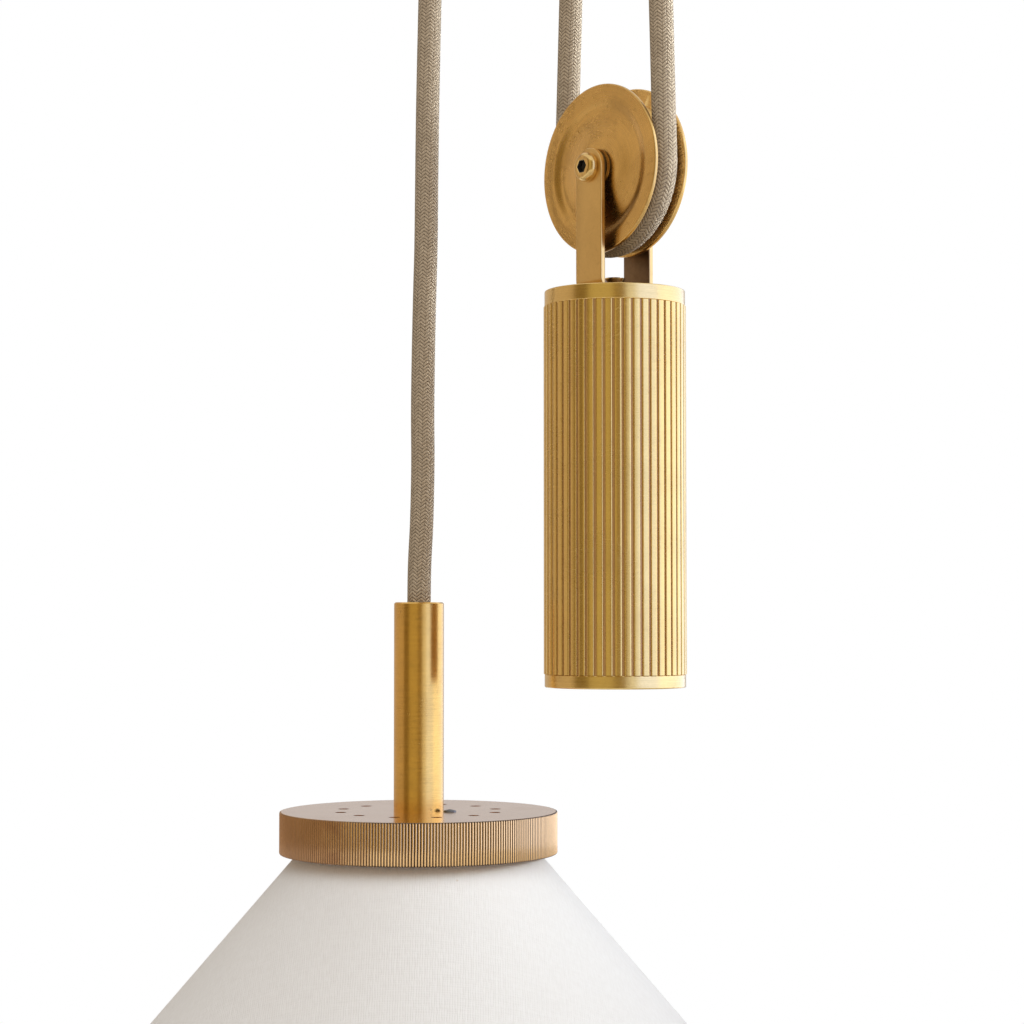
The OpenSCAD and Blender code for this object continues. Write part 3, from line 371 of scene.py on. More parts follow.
# The braid: columns of slanted stitches whose slant turns over every second column
braid, given, end = group("braid", {"Turns": 0.0, "Metres": 0.0}, {"Height": float, "Stitch": float})
columns = sums(braid, "MULTIPLY", given["Turns"], float(BRAID_COLUMNS))
leg = sums(braid, "PINGPONG", columns, 2.0)
rise = sums(braid, "ADD", sums(braid, "DIVIDE", given["Metres"], STITCH), sums(braid, "MULTIPLY", leg, 0.5))
ridge = sums(braid, "SINE", sums(braid, "MULTIPLY", sums(braid, "FRACT", rise), math.pi))
ridge = sums(braid, "POWER", ridge, 0.7)
pair = sums(braid, "MULTIPLY", columns, 0.5)
dip = sums(braid, "SINE", sums(braid, "MULTIPLY", sums(braid, "FRACT", pair), math.pi))
dip = ramp(braid, dip, 0, 0.6, 0.45, 1)
number = node(braid, "CombineXYZ", {0: sums(braid, "FLOOR", rise), 1: sums(braid, "FLOOR", pair)}).outputs[0]
stitch = node(braid, "TexWhiteNoise", {"Vector": number}, noise_dimensions="2D").outputs["Value"]
close_group(braid, end, Height=sums(braid, "MULTIPLY", ridge, dip), Stitch=stitch)


def put(tree, made, inputs):
    """A node group in a material, with that material's own values, and its outputs."""
    kept = tree.nodes.new("ShaderNodeGroup")
    kept.node_tree = made
    for label, value in inputs.items():
        if isinstance(value, bpy.types.NodeSocket):
            tree.links.new(value, kept.inputs[label])
        else:
            kept.inputs[label].default_value = value
    return kept.outputs


def mixed(tree, share, a, b, blend="MIX"):
    """Two colours mixed by a share from 0 to 1."""
    return node(tree, "Mix", {0: share, 6: a, 7: b}, data_type="RGBA", blend_type=blend).outputs[2]


def skin(tree, colour, normal=None, **constants):
    """The material's shader. Names in words with _ for spaces are set on its own sockets."""
    inputs = {"Base Color": colour}
    inputs.update({label.replace("_", " "): value for label, value in constants.items()})
    if normal is not None:
        inputs["Normal"] = normal
    shader = node(tree, "BsdfPrincipled", inputs)
    node(tree, "OutputMaterial", {0: shader.outputs[0]})


def bumps(tree, height, depth, strength=1.0):
    """The normal that a height from 0 to 1 gives, where 1 stands that many metres proud."""
    return node(tree, "Bump", {"Height": height, "Strength": strength, "Distance": depth}).outputs[0]


YARN_LIGHT = (0.53, 0.42, 0.29, 1)
YARN_DARK = (0.34, 0.26, 0.17, 1)
YARN_GAP_SHADE = (0.085, 0.055, 0.032, 1)

yarn, tree = material("braided_yarn")
parts = node(tree, "SeparateXYZ", {0: node(tree, "UVMap", uv_map="braid").outputs[0]}).outputs
weave = put(tree, braid, {"Turns": parts[0], "Metres": parts[1]})
fibre = noise(tree, own_place(tree), 2600, detail=3)
soil = noise(tree, own_place(tree), 35)
pale = sums(tree, "ADD", sums(tree, "MULTIPLY", weave["Stitch"], 0.5), sums(tree, "MULTIPLY", fibre, 0.5))
thread = mixed(tree, pale, YARN_DARK, YARN_LIGHT)
thread = mixed(tree, ramp(tree, soil, 0.45, 0.75, 0, 0.25), thread, YARN_DARK)
# Painted shade: the hollows between the stitches are nearly black
depth = ramp(tree, weave["Height"], 0.05, 0.55)
skin(tree, mixed(tree, depth, YARN_GAP_SHADE, thread),
     bumps(tree, sums(tree, "ADD", weave["Height"], sums(tree, "MULTIPLY", fibre, 0.2)), 0.28 * MM),
     Roughness=0.85, Sheen_Weight=0.06, Sheen_Roughness=0.5)


def hang(cord, nodes):
    """Gives a cord the braided yarn, fixes its mesh in place, and hides the CAD nodes it stands for."""
    cord.data.materials.append(yarn)
    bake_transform(cord)
    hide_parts(*nodes)


carrying, hanging = line[:junction + 1], line[junction:]
counterweight_cord, side, reached = braided_tube("counterweight_cord", carrying, 0, Vector((1, 0, 0)))
lamp_cord, side, total = braided_tube("lamp_cord", hanging, reached, side)
hang(counterweight_cord, ["cord_fixed_side", "cord_wheel_turn", "cord_lift_side", "cord_ceiling_turn"])
hang(lamp_cord, ["cord_lamp_side"])


# ---- Ceiling plate, posts and terminals -----------------------------------------------------
# Zinc-plated steel plate, screwed to the ceiling, with three steel posts below it and a white
# terminal block. All of it hides in the canopy.

LINES_PER_M = 3200.0  # how close the lines lie that turning leaves


def off_axis(tree, place):
    """A place's three coordinates, and its distance from the Z axis."""
    parts = node(tree, "SeparateXYZ", {0: place}).outputs
    flat = node(tree, "CombineXYZ", {0: parts[0], 1: parts[1]}).outputs[0]
    return parts, node(tree, "VectorMath", {0: flat}, operation="LENGTH").outputs["Value"]


# Patina: clouds of brown stain, fine grain, dark specks, and the lines that turning leaves.
# Place is a point in the piece's own frame, in metres, with the piece turned about its Z.
patina, given, end = group(
    "patina",
    {"Place": Vector(), "Clean": (0.7, 0.5, 0.2, 1), "Stained": (0.3, 0.2, 0.1, 1), "Stain": 0.4,
     "Specks": 0.3, "Lines": 0.3, "Cloud": 60.0},
    {"Colour": tuple, "Rough": float, "Height": float})
place = given["Place"]
cloud = noise(patina, place, given["Cloud"], detail=5, Roughness=0.62, Distortion=0.4)
cloud = ramp(patina, cloud, 0.42, 0.70)
grain = noise(patina, place, 1500)
blot = ramp(patina, noise(patina, place, 420, detail=3, Roughness=0.7), 0.56, 0.74)
parts, reach = off_axis(patina, place)
turning = node(patina, "CombineXYZ", {
    0: sums(patina, "MULTIPLY", reach, LINES_PER_M),
    1: sums(patina, "MULTIPLY", parts[2], LINES_PER_M),
    2: sums(patina, "MULTIPLY", sums(patina, "ARCTAN2", parts[1], parts[0]), 1.6)}).outputs[0]
lines = noise(patina, turning, 1)
pits = node(patina, "TexVoronoi", {"Vector": place, "Scale": 170}).outputs
few = sums(patina, "GREATER_THAN", node(patina, "SeparateColor", {0: pits["Color"]}).outputs[0], 0.72)
pit = sums(patina, "MULTIPLY", ramp(patina, pits["Distance"], 0.03, 0.10, 1, 0), few)
pit = sums(patina, "MULTIPLY", pit, given["Specks"])
dirt = sums(patina, "MULTIPLY", cloud, sums(patina, "MULTIPLY_ADD", blot, 0.55, 0.6))
dirt = sums(patina, "MULTIPLY", dirt, given["Stain"])
spots = sums(patina, "MULTIPLY", blot, sums(patina, "MULTIPLY", given["Stain"], 0.25))
dirt = sums(patina, "ADD", sums(patina, "ADD", dirt, spots), pit, clamp=True)
streak = sums(patina, "MULTIPLY", sums(patina, "SUBTRACT", lines, 0.5), given["Lines"])
bright = sums(patina, "MULTIPLY", sums(patina, "SUBTRACT", grain, 0.5), 0.12)
bright = sums(patina, "ADD", sums(patina, "ADD", 1.0, streak), bright)
metal = mixed(patina, dirt, given["Clean"], given["Stained"])
lighter = node(patina, "VectorMath", {0: metal, 3: bright}, operation="SCALE").outputs[0]
rough = sums(patina, "ADD", sums(patina, "MULTIPLY", dirt, 0.22), sums(patina, "MULTIPLY", streak, 0.25))
high = sums(patina, "SUBTRACT", sums(patina, "MULTIPLY", lines, given["Lines"]), pit)
close_group(patina, end, Colour=lighter, Rough=rough, Height=high)


def patinated(tree, place, clean, stained, stain, specks, lines, cloud):
    """The patina's colour, roughness and height on a metal of that clean and that stained colour."""
    return put(tree, patina, {"Place": place, "Clean": (*clean, 1), "Stained": (*stained, 1), "Stain": stain,
                              "Specks": specks, "Lines": lines, "Cloud": cloud})


def drawn_out(tree):
    """The shader's values for turned metal, whose highlights are drawn out along its own axis."""
    along = node(tree, "Tangent", direction_type="RADIAL", axis="Z").outputs[0]
    return {"Anisotropic": 0.6, "Tangent": along}


def metal_skin(name, clean, stained, rough, stain=0.3, specks=0.3, lines=0.3, cloud=60.0, turned=False,
               coat=0.0):
    """A metal finish, as it comes or turned."""
    made, tree = material(name)
    finish = patinated(tree, own_place(tree), clean, stained, stain, specks, lines, cloud)
    skin(tree, finish["Colour"], bumps(tree, finish["Height"], 0.01 * MM), Metallic=1.0,
         Roughness=sums(tree, "ADD", finish["Rough"], rough), Coat_Weight=coat, Coat_Roughness=0.18,
         **(drawn_out(tree) if turned else {}))
    return made


def finished(surface, slot_name, *nodes):
    """Gives CAD nodes whose shape is right this material."""
    for name in nodes:
        cad = frame["nodes"][name]
        for place in cad.material_slots:
            place.material = surface


ZINC = (0.62, 0.63, 0.64)
ZINC_DULL = (0.36, 0.36, 0.37)
BRONZE = (0.62, 0.36, 0.18)
BRONZE_DULL = (0.30, 0.16, 0.08)

zinc = metal_skin("zinc_plate", ZINC, ZINC_DULL, rough=0.34, stain=0.5, cloud=90.0)
finished(zinc, "steel", "ceiling_plate", "post_screws", "yoke_post", "canopy_posts", "terminal_screws",
         "block_screw", "stem_nipple", "nipple_nut")
# The washers are painted nearly black as the shade in the gaps between straps and wheels
shaded_steel = metal_skin("shaded_steel", (0.13, 0.11, 0.09), (0.05, 0.04, 0.03), rough=0.35, stain=0.6,
                        cloud=200.0)
finished(shaded_steel, "steel", "travel_axle_washers", "ceiling_axle_washers")
dull_steel = metal_skin("dull_steel", (0.17, 0.165, 0.16), (0.09, 0.08, 0.08), rough=0.42, stain=0.6,
                        cloud=200.0)
finished(dull_steel, "steel", "cap_earth_screw")


def plain_skin(name, colour, darker, rough, scale, depth, **extra):
    """A matt or moulded finish with faint mottling."""
    made, tree = material(name)
    place = own_place(tree)
    share = ramp(tree, noise(tree, place, scale, detail=4), 0.35, 0.7)
    grain = noise(tree, place, 8 * scale)
    skin(tree, mixed(tree, share, (*colour, 1), (*darker, 1)), bumps(tree, grain, depth * MM),
         Roughness=sums(tree, "ADD", sums(tree, "MULTIPLY", share, 0.12), rough), **extra)
    return made


nylon = plain_skin("white_nylon", (0.80, 0.79, 0.75), (0.72, 0.70, 0.65), rough=0.38, scale=140, depth=0.03)
finished(nylon, "nylon", "terminal_block", "cord_clamp")
rubber = plain_skin("black_rubber", (0.035, 0.035, 0.036), (0.06, 0.058, 0.055), rough=0.6, scale=200,
                    depth=0.03)
finished(rubber, "rubber", "cord_grip_sleeve")
lead_skin = plain_skin("core_insulation", (0.22, 0.10, 0.055), (0.16, 0.07, 0.04), rough=0.42, scale=120,
                       depth=0.02)
finished(lead_skin, "lead_insulation", "ceiling_leads", "lamp_leads")
bronze = metal_skin("bush_bronze", BRONZE, BRONZE_DULL, rough=0.35, stain=0.6, cloud=120.0)
finished(bronze, "bronze", "ceiling_wheel_bush", "travel_wheel_bush")


# ---- Canopy, grip and screws ------------------------------------------------------------------
# A spun brass cup, screwed up against the ceiling by two button screws. The gland through its
# floor holds the cord's fixed end: nut, hexagon collar, rubber sleeve and a tapered cap.

BRASS = (0.72, 0.475, 0.165)
BRASS_BROWN = (0.36, 0.205, 0.065)
satin = metal_skin("satin_brass", BRASS, BRASS_BROWN, rough=0.27, stain=0.42, coat=0.25)
finished(satin, "aged_brass", "canopy", "canopy_screws", "cord_grip", "cord_grip_nut", "cord_grip_cap",
         "earth_screw", "ceiling_axle_nut", "travel_axle_nut", "ceiling_yoke_screw", "travel_yoke_screw",
         "weight_bottom_screw")


# ---- Wheels -----------------------------------------------------------------------------------
# Each wheel is a turned hub with the cord's groove, between two flanges spun from brass sheet: a
# raised middle, a shallow dish and a flat ring with a rounded edge. A bronze bush runs on the axle.

HUB_R = 6.5 * MM
RIM_W = 4.6 * MM
RIM_T = 1.5 * MM
# How far the flange's faces stand off the wheel's centre: outside in the middle and in the dish,
# inside at the hub and at the rim
MIDDLE_FACE = 8.5 * MM
DISH_FACE = 6.5 * MM
HUB_BACK = 2.8 * MM
RIM_BACK = 5.25 * MM
# Radii where the raised middle ends, where the dish is deepest and where the flat ring starts
MIDDLE_R = 7.2 * MM
DISH_R = 20.5 * MM
RING_R = 25.4 * MM
DISH_STEPS = 24
TURNED_SIDES = 128


def facing(centre, turn):
    """The frame of a wheel: its middle, with +Z along its axle to the viewer and +Y upwards."""
    across = Vector((math.cos(turn), -math.sin(turn), 0))
    axle = Vector((-math.sin(turn), -math.cos(turn), 0))
    turned_so = Matrix((across, Vector((0, 0, 1)), axle)).transposed().to_4x4()
    return Matrix.Translation(centre) @ turned_so


def rounded(points, corner, steps=4):
    """The same outline with each corner rounded by a short arc, no longer than half its sides."""
    made, count = [], len(points)
    for i, (x, y) in enumerate(points):
        here = Vector((x, y))
        before, after = Vector(points[i - 1]) - here, Vector(points[(i + 1) % count]) - here
        cut = min(corner, before.length / 2, after.length / 2)
        if before.angle(after) > math.radians(170) or cut < 1e-7:
            made.append((x, y))
            continue
        start, stop = here + cut * before.normalized(), here + cut * after.normalized()
        for k in range(steps + 1):
            t = k / steps
            p = (1 - t) ** 2 * start + 2 * t * (1 - t) * here + t * t * stop
            made.append((p.x, p.y))
    return made


def lathe(outline, sides):
    """Points and faces of an outline of (radius, height) turned about Z."""
    points = [(x, y, z) for r, z in outline for x, y in circle(r, sides)]
    return points, walls(len(outline), sides, closed=True, flipped=True)


def piece(name, mesh, surface, body, nodes=(), matrix=None):
    """A finished piece in its place, on its body, in the stead of its CAD nodes."""
    made = shown(name, mesh)
    if matrix is not None:
        made.matrix_world = matrix
    made.data.materials.append(surface)
    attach(made, body)
    if nodes:
        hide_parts(*nodes)
    return made


def middle(name):
    """The middle of a CAD node's box."""
    low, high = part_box(name)
    return (low + high) / 2


low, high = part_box("ceiling_wheel_front")
WHEEL_R = (high.z - low.z) / 2
RIM_FACE = middle("ceiling_wheel_hub").y - low.y
RIM_IN_R = WHEEL_R - RIM_W


def eased(a, b, t):
    """From a to b with a soft start and a soft end, for t from 0 to 1."""
    t = min(1, max(0, t))
    return a + (b - a) * t * t * (3 - 2 * t)


def face(r):
    """The flange's outer face: raised middle, dish and ring."""
    if r < DISH_R:
        return eased(MIDDLE_FACE, DISH_FACE, (r - MIDDLE_R) / (DISH_R - MIDDLE_R))
    return eased(DISH_FACE, RIM_FACE, (r - DISH_R) / (RING_R - DISH_R))


def inner_face(r):
    """The flange's inner face, which keeps clear of the cord."""
    return HUB_BACK + (RIM_BACK - HUB_BACK) * ((r - HUB_R) / (RIM_IN_R - HUB_R)) ** 2


radii = [HUB_R + (RING_R - HUB_R) * i / DISH_STEPS for i in range(DISH_STEPS + 1)]
outline = [(r, inner_face(r)) for r in reversed(radii) if r < RIM_IN_R] + [(r, face(r)) for r in radii]
outline += [(WHEEL_R, RIM_FACE), (WHEEL_R, RIM_FACE - RIM_T), (RIM_IN_R, RIM_BACK)]
flange_outline = rounded(outline, 0.55 * MM, steps=5)
WHEEL_BRASS = (0.72, 0.455, 0.15)
wheel_brass = metal_skin("wheel_brass", WHEEL_BRASS, BRASS_BROWN, rough=0.23, stain=0.68, specks=0.8,
                         lines=0.35, cloud=42.0, coat=0.25)
for body, spin, turn in [("root", "ceiling_wheel", 0), ("counterweight", "travel_wheel", WHEEL_TURN)]:
    centre = middle(spin + "_hub")
    points, faces = lathe(flange_outline, TURNED_SIDES)
    for side, half in [("front", 0), ("back", math.pi)]:
        placing = facing(centre, turn) @ Matrix.Rotation(half, 4, "Y")
        piece(f"{spin}_{side}_flange", mesh_of("flange", points, faces, sharp=30), wheel_brass, spin,
              [f"{spin}_{side}"], placing)
finished(wheel_brass, "aged_brass", "ceiling_wheel_hub", "travel_wheel_hub")


# ---- Yokes and axles --------------------------------------------------------------------------
# A brass strap, 13.6 by 2 mm, bent into a U with its ends rounded over the axle. The axle is a
# button-head screw with a hexagon socket, and runs in a washer on each side of the wheel.

STRAP_W = 13.6 * MM
STRAP_T = 2 * MM
STRAP_BEND = 1.5 * MM  # inside the bend
STRAP_EDGE = 0.35 * MM
YOKE_GAP = 20.6 * MM
BUTTON_D = 10.5 * MM
BUTTON_H = 3.3 * MM
SOCKET_FLATS = 4 * MM
SOCKET_DEPTH = 2 * MM
AXLE_D = 6 * MM
AXLE_PAST = 6.5 * MM  # how far the axle stands out behind its yoke, for the nut


def strap(height):
    """A U of strap round an axle at the origin along Z, with its base that far below."""
    half_w, bend = STRAP_W / 2, STRAP_BEND + STRAP_T / 2
    cheek_z, base_y = YOKE_GAP / 2 + STRAP_T / 2, STRAP_T / 2 - height
    # Each stop: height, place along the axle, half the width there, and the strap's outward normal
    stops = [(half_w * math.cos(a), cheek_z, half_w * math.sin(a), (0, 1))
             for a in [math.radians(d) for d in (6, 15, 25, 36, 48, 60, 75, 90)]]
    stops += [(base_y + bend, cheek_z, half_w, (0, 1))]
    for d in range(10, 91, 10):
        a = math.radians(d)
        stops.append((base_y + bend - bend * math.sin(a), cheek_z - bend + bend * math.cos(a), half_w,
                      (-math.sin(a), math.cos(a))))
    stops += [(y, -z, w, (ny, -nz)) for y, z, w, (ny, nz) in reversed(stops)]
    points = []
    for y, z, w, (ny, nz) in stops:
        corner = min(STRAP_EDGE, 0.45 * w)
        half_t = STRAP_T / 2
        ring = rounded([(-w, -half_t), (w, -half_t), (w, half_t), (-w, half_t)], corner, steps=3)
        points += [(x, y + ny * t, z + nz * t) for x, t in ring]
    return points, walls(len(stops), len(ring), flipped=True)


def hexagon(a):
    """How far a hexagon's side stands at an angle, as a share of its corners' radius."""
    return math.cos(math.pi / 6) / math.cos(a % (math.pi / 3) - math.pi / 6)


def axle_screw(tail):
    """The button-head axle: its head on z = 0 with the socket, and its shank down to the tail."""
    r, socket_r, sides = BUTTON_D / 2, SOCKET_FLATS / 2 / math.cos(math.pi / 6), 48
    fall, side = 0.22 * BUTTON_D, 1 * MM
    outline = [(AXLE_D / 2, tail + 0.4 * MM, 0), (AXLE_D / 2, 0, 0), (r - 0.25 * MM, 0, 0), (r, 0.25 * MM, 0)]
    outline += [(r - (1 - math.cos(a)) * fall, side + math.sin(a) * (BUTTON_H - side), 0)
                for a in [math.radians(9 * i) for i in range(11)]]
    outline += [(socket_r * 1.16, BUTTON_H, 1), (socket_r, BUTTON_H - 0.25 * MM, 1),
                (socket_r, BUTTON_H - SOCKET_DEPTH, 1), (0.1 * MM, BUTTON_H - SOCKET_DEPTH - 0.8 * MM, 0)]
    outline = [(0.1 * MM, tail, 0), (AXLE_D / 2 - 0.4 * MM, tail, 0)] + outline
    points = []
    for ring_r, z, six in outline:
        for k in range(sides):
            a = 2 * math.pi * k / sides
            at = ring_r * (hexagon(a) if six else 1)
            points.append((at * math.cos(a), at * math.sin(a), z))
    return points, walls(len(outline), sides)


# The strap's inside, between it and the wheel, is painted nearly black in a mottled tone as shade; its
# outside keeps the plain brass
strap_brass, tree = material("strap_brass")
place = own_place(tree)
finish = patinated(tree, place, (0.70, 0.465, 0.175), BRASS_BROWN, stain=0.35, specks=0.3, lines=0.0,
                   cloud=45.0)
off_wheel = sums(tree, "ABSOLUTE", node(tree, "SeparateXYZ", {0: place}).outputs[2])
inside = ramp(tree, off_wheel, YOKE_GAP / 2 + 0.1 * MM, YOKE_GAP / 2 + 0.6 * MM, 1, 0)
painted_shade_tone = mixed(tree, noise(tree, place, 160, detail=4, Roughness=0.7), (0.10, 0.055, 0.028, 1),
                (0.30, 0.19, 0.10, 1))
skin(tree, mixed(tree, inside, finish["Colour"], painted_shade_tone), bumps(tree, finish["Height"], 0.01 * MM),
     Metallic=1.0, Coat_Weight=0.2, Coat_Roughness=0.18,
     Roughness=sums(tree, "ADD", finish["Rough"], sums(tree, "MULTIPLY_ADD", inside, 0.12, 0.28)))

# The axle's head is bright, and its socket is painted black as shade
axle_brass, tree = material("axle_brass")
place = own_place(tree)
finish = patinated(tree, place, (0.72, 0.48, 0.175), (0.30, 0.17, 0.06), stain=0.5, specks=0.6, lines=0.3,
                   cloud=220.0)
parts, reach = off_axis(tree, place)
in_head = sums(tree, "MULTIPLY", sums(tree, "GREATER_THAN", parts[2], 0.0),
               sums(tree, "LESS_THAN", parts[2], BUTTON_H - 0.15 * MM))
# Painted shade: the socket's inside is black and matt
socket_shade = sums(tree, "MULTIPLY", in_head, sums(tree, "LESS_THAN", reach, 0.62 * SOCKET_FLATS))
skin(tree, mixed(tree, socket_shade, finish["Colour"], (0.012, 0.009, 0.006, 1)),
     bumps(tree, finish["Height"], 0.01 * MM), Metallic=sums(tree, "SUBTRACT", 1.0, socket_shade),
     Roughness=sums(tree, "MULTIPLY_ADD", socket_shade, 0.4, 0.2), Coat_Weight=0.3, Coat_Roughness=0.18)
outside = YOKE_GAP / 2 + STRAP_T
tail = -2 * outside - AXLE_PAST
for body, wheel, turn, hangs in [("root", "ceiling", 0, False),
                                 ("counterweight", "travel", WHEEL_TURN, True)]:
    yoke = wheel + "_yoke"
    centre = middle(wheel + "_wheel_hub")
    low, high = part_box(yoke)
    height = centre.z - low.z if hangs else high.z - centre.z
    placing = facing(centre, turn)
    upright = placing @ Matrix.Rotation(0 if hangs else math.pi, 4, "Z")
    piece(yoke + "_strap", mesh_of("strap", *strap(height), sharp=50), strap_brass, body,
          [yoke], upright)
    piece(wheel + "_axle_screw", mesh_of("axle", *axle_screw(tail), sharp=35), axle_brass, body,
          [wheel + "_axle"], placing @ Matrix.Translation((0, 0, outside)))


# ---- Counterweight ----------------------------------------------------------------------------
# A steel bar in a brass tube with 48 straight grooves, shut by a turned cap at each end. The
# yoke's screw holds the top cap and a countersunk screw the bottom one.

FLUTES = 48
FLUTE_GAP = 0.8 * MM
FLUTE_DEPTH = 0.6 * MM
SLEEVE_WALL = 2 * MM
SPIGOT_H = 4 * MM
SCREW_R = 2.6 * MM
SINK_R = 5.1 * MM  # the countersunk hole's mouth and depth in the bottom cap
SINK_H = 2.7 * MM
SPIGOT_SLIP = 0.1 * MM


def raised(at, z):
    """A piece's placing: upright over a point of the plan, with its foot at that height."""
    return Matrix.Translation(at + Vector((0, 0, z)))


low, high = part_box("weight_sleeve")
sleeve_r, sleeve_h = (high.x - low.x) / 2, high.z - low.z
weight_at = Vector((middle("weight_sleeve").x, middle("weight_sleeve").y, 0))
pitch = 2 * math.pi / FLUTES
wall = FLUTE_GAP / 2 / sleeve_r  # half the groove's angle
# One land and its groove: share of the way across the land, and how far below its crown
LAND = [(-1.0, FLUTE_DEPTH), (-1.0, 0.24 * MM), (-0.94, 0.12 * MM), (-0.80, 0.03 * MM), (-0.5, 0.005 * MM),
        (0, 0), (0.5, 0.005 * MM), (0.80, 0.03 * MM), (0.94, 0.12 * MM), (1.0, 0.24 * MM), (1.0, FLUTE_DEPTH)]
section = [(i * pitch + share * (pitch / 2 - wall), sleeve_r - fall)
           for i in range(FLUTES) for share, fall in LAND]
points = []
rings = [(0, True), (0, False), (sleeve_h, False), (sleeve_h, True)]
for z, bore in rings:
    for a, r in section:
        at = sleeve_r - SLEEVE_WALL if bore else r
        points.append((at * math.cos(a), at * math.sin(a), z))
faces = walls(len(rings), len(section), closed=True)

fluted, tree = material("fluted_brass")
place = own_place(tree)
finish = patinated(tree, place, (0.74, 0.51, 0.175), BRASS_BROWN, stain=0.28, specks=0.1, lines=0.12,
                   cloud=50.0)
parts, reach = off_axis(tree, place)
# Painted shade: the grooves are a darker brown and partly matt
groove = ramp(tree, reach, sleeve_r - FLUTE_DEPTH, sleeve_r - 0.26 * MM, 1, 0)
groove_shade_colour = mixed(tree, groove, finish["Colour"], (0.46, 0.25, 0.09, 1))
# Long scratches: thin slanting lines that come and go along their length
tilted = node(tree, "Mapping", {"Vector": place, "Rotation": (0, math.radians(18), 0)}).outputs[0]
wave = {"Vector": tilted, "Scale": 4.1, "Distortion": 2.5, "Detail": 1, "Detail Scale": 30}
scratch = node(tree, "TexWave", wave, bands_direction="Z").outputs["Fac"]
scratch = sums(tree, "MULTIPLY", sums(tree, "GREATER_THAN", scratch, 0.9998), noise(tree, place, 60))
high_at = sums(tree, "SUBTRACT", finish["Height"], scratch)
skin(tree, groove_shade_colour, bumps(tree, high_at, 0.02 * MM), Metallic=sums(tree, "MULTIPLY_ADD", groove, -0.75, 1.0),
     Roughness=sums(tree, "ADD", finish["Rough"], 0.25), Coat_Weight=0.2, Coat_Roughness=0.25)
piece("fluted_sleeve", mesh_of("sleeve", points, faces, sharp=50), fluted, "counterweight",
      ["weight_sleeve"], raised(weight_at, low.z))

cap_brass = metal_skin("cap_brass", (0.74, 0.52, 0.20), BRASS_BROWN, rough=0.19, turned=True, coat=0.25)
spigot_r = sleeve_r - SLEEVE_WALL - SPIGOT_SLIP
for name, on_top in [("weight_top_cap", True), ("weight_bottom_cap", False)]:
    low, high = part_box(name)
    r, h = (high.x - low.x) / 2, high.z - low.z - SPIGOT_H
    outline = [(SCREW_R, -SPIGOT_H), (spigot_r, -SPIGOT_H), (spigot_r, 0), (r, 0), (r, h)]
    outline += [(SCREW_R, h)] if on_top else [(SINK_R, h), (SCREW_R, h - SINK_H)]
    points, faces = lathe(rounded(outline, 0.5 * MM), TURNED_SIDES)
    foot = low.z + SPIGOT_H if on_top else high.z - SPIGOT_H
    placing = raised(weight_at, foot) @ Matrix.Rotation(0 if on_top else math.pi, 4, "X")
    piece(name + "_turned", mesh_of("cap", points, faces, sharp=50), cap_brass, "counterweight",
          [name], placing)
black_steel = metal_skin("blackened_steel", (0.10, 0.10, 0.105), (0.16, 0.11, 0.08), rough=0.42, stain=0.4)
finished(black_steel, "black_steel", "weight_core", "clamp_screw")


# ---- Stem -------------------------------------------------------------------------------------
# Turned brass tube, 18 mm across. The cord goes in at the top, where a nylon bush and a grub
# screw at the back hold it. Its foot stands on the shade's cap.

STEM_BRASS = (0.69, 0.41, 0.105)
stem_surface, tree = material("stem_brass")
place = node(tree, "VectorMath", {0: own_place(tree), 1: middle("stem")}, operation="SUBTRACT").outputs[0]
finish = patinated(tree, place, STEM_BRASS, BRASS_BROWN, stain=0.4, specks=0.55, lines=0.35, cloud=55.0)
skin(tree, finish["Colour"], bumps(tree, finish["Height"], 0.01 * MM), Metallic=1.0,
     Roughness=sums(tree, "ADD", finish["Rough"], 0.21), Coat_Weight=0.2, Coat_Roughness=0.16,
     **drawn_out(tree))
finished(stem_surface, "aged_brass", "stem")


# ---- Shade cap --------------------------------------------------------------------------------
# A thick brass disc, turned hollow below, with 300 straight knurls round its rim and twelve vent
# holes. Painted shade darkens the rim's left side and its knurl grooves. The earth wire's screw shows beside
# the stem.

KNURLS = 300
KNURL_DEPTH = 0.42 * MM
CAP_ROOF = 3 * MM
CAP_WALL = 4 * MM
CAP_CORNER = 0.5 * MM
VENTS = 12
VENT_D = 4 * MM
VENT_PCD = 57 * MM
NIPPLE_HOLE_R = 5.1 * MM
EARTH_HOLE_R = 1.6 * MM
HOLE_CUT = (-0.01, 0.03)  # heights between which the holes are cut
# One knurl: share of its pitch, and how far below its crown
TOOTH = [(0.0, 0), (0.12, 0.04), (0.31, 0.32), (0.50, 1), (0.69, 0.32), (0.88, 0.04)]

low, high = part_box("shade_cap")
cap_r, cap_h = (high.x - low.x) / 2, high.z - low.z
lamp_at = Vector((middle("shade_cap").x, middle("shade_cap").y, 0))


def knurled(inner_r, r, h, roof, corner):
    """A cup, open below, whose rim is knurled from the bottom corner to the top one."""
    outline = [(NIPPLE_HOLE_R, h - roof, 0), (inner_r, h - roof, 0), (inner_r, 0, 0), (r - corner, 0, 0.4),
               (r - 0.35 * corner, 0.22 * corner, 1), (r, corner, 1), (r, h - corner, 1),
               (r - 0.35 * corner, h - 0.22 * corner, 1), (r - corner, h, 0.4), (r - 2.2 * corner, h, 0),
               (NIPPLE_HOLE_R, h, 0)]
    sides = KNURLS * len(TOOTH)
    points = []
    for ring_r, z, cut in outline:
        for i in range(KNURLS):
            for share, deep in TOOTH:
                a, at = 2 * math.pi * (i + share) / KNURLS, ring_r - deep * cut * KNURL_DEPTH
                points.append((at * math.cos(a), at * math.sin(a), z))
    return points, walls(len(outline), sides, closed=True)


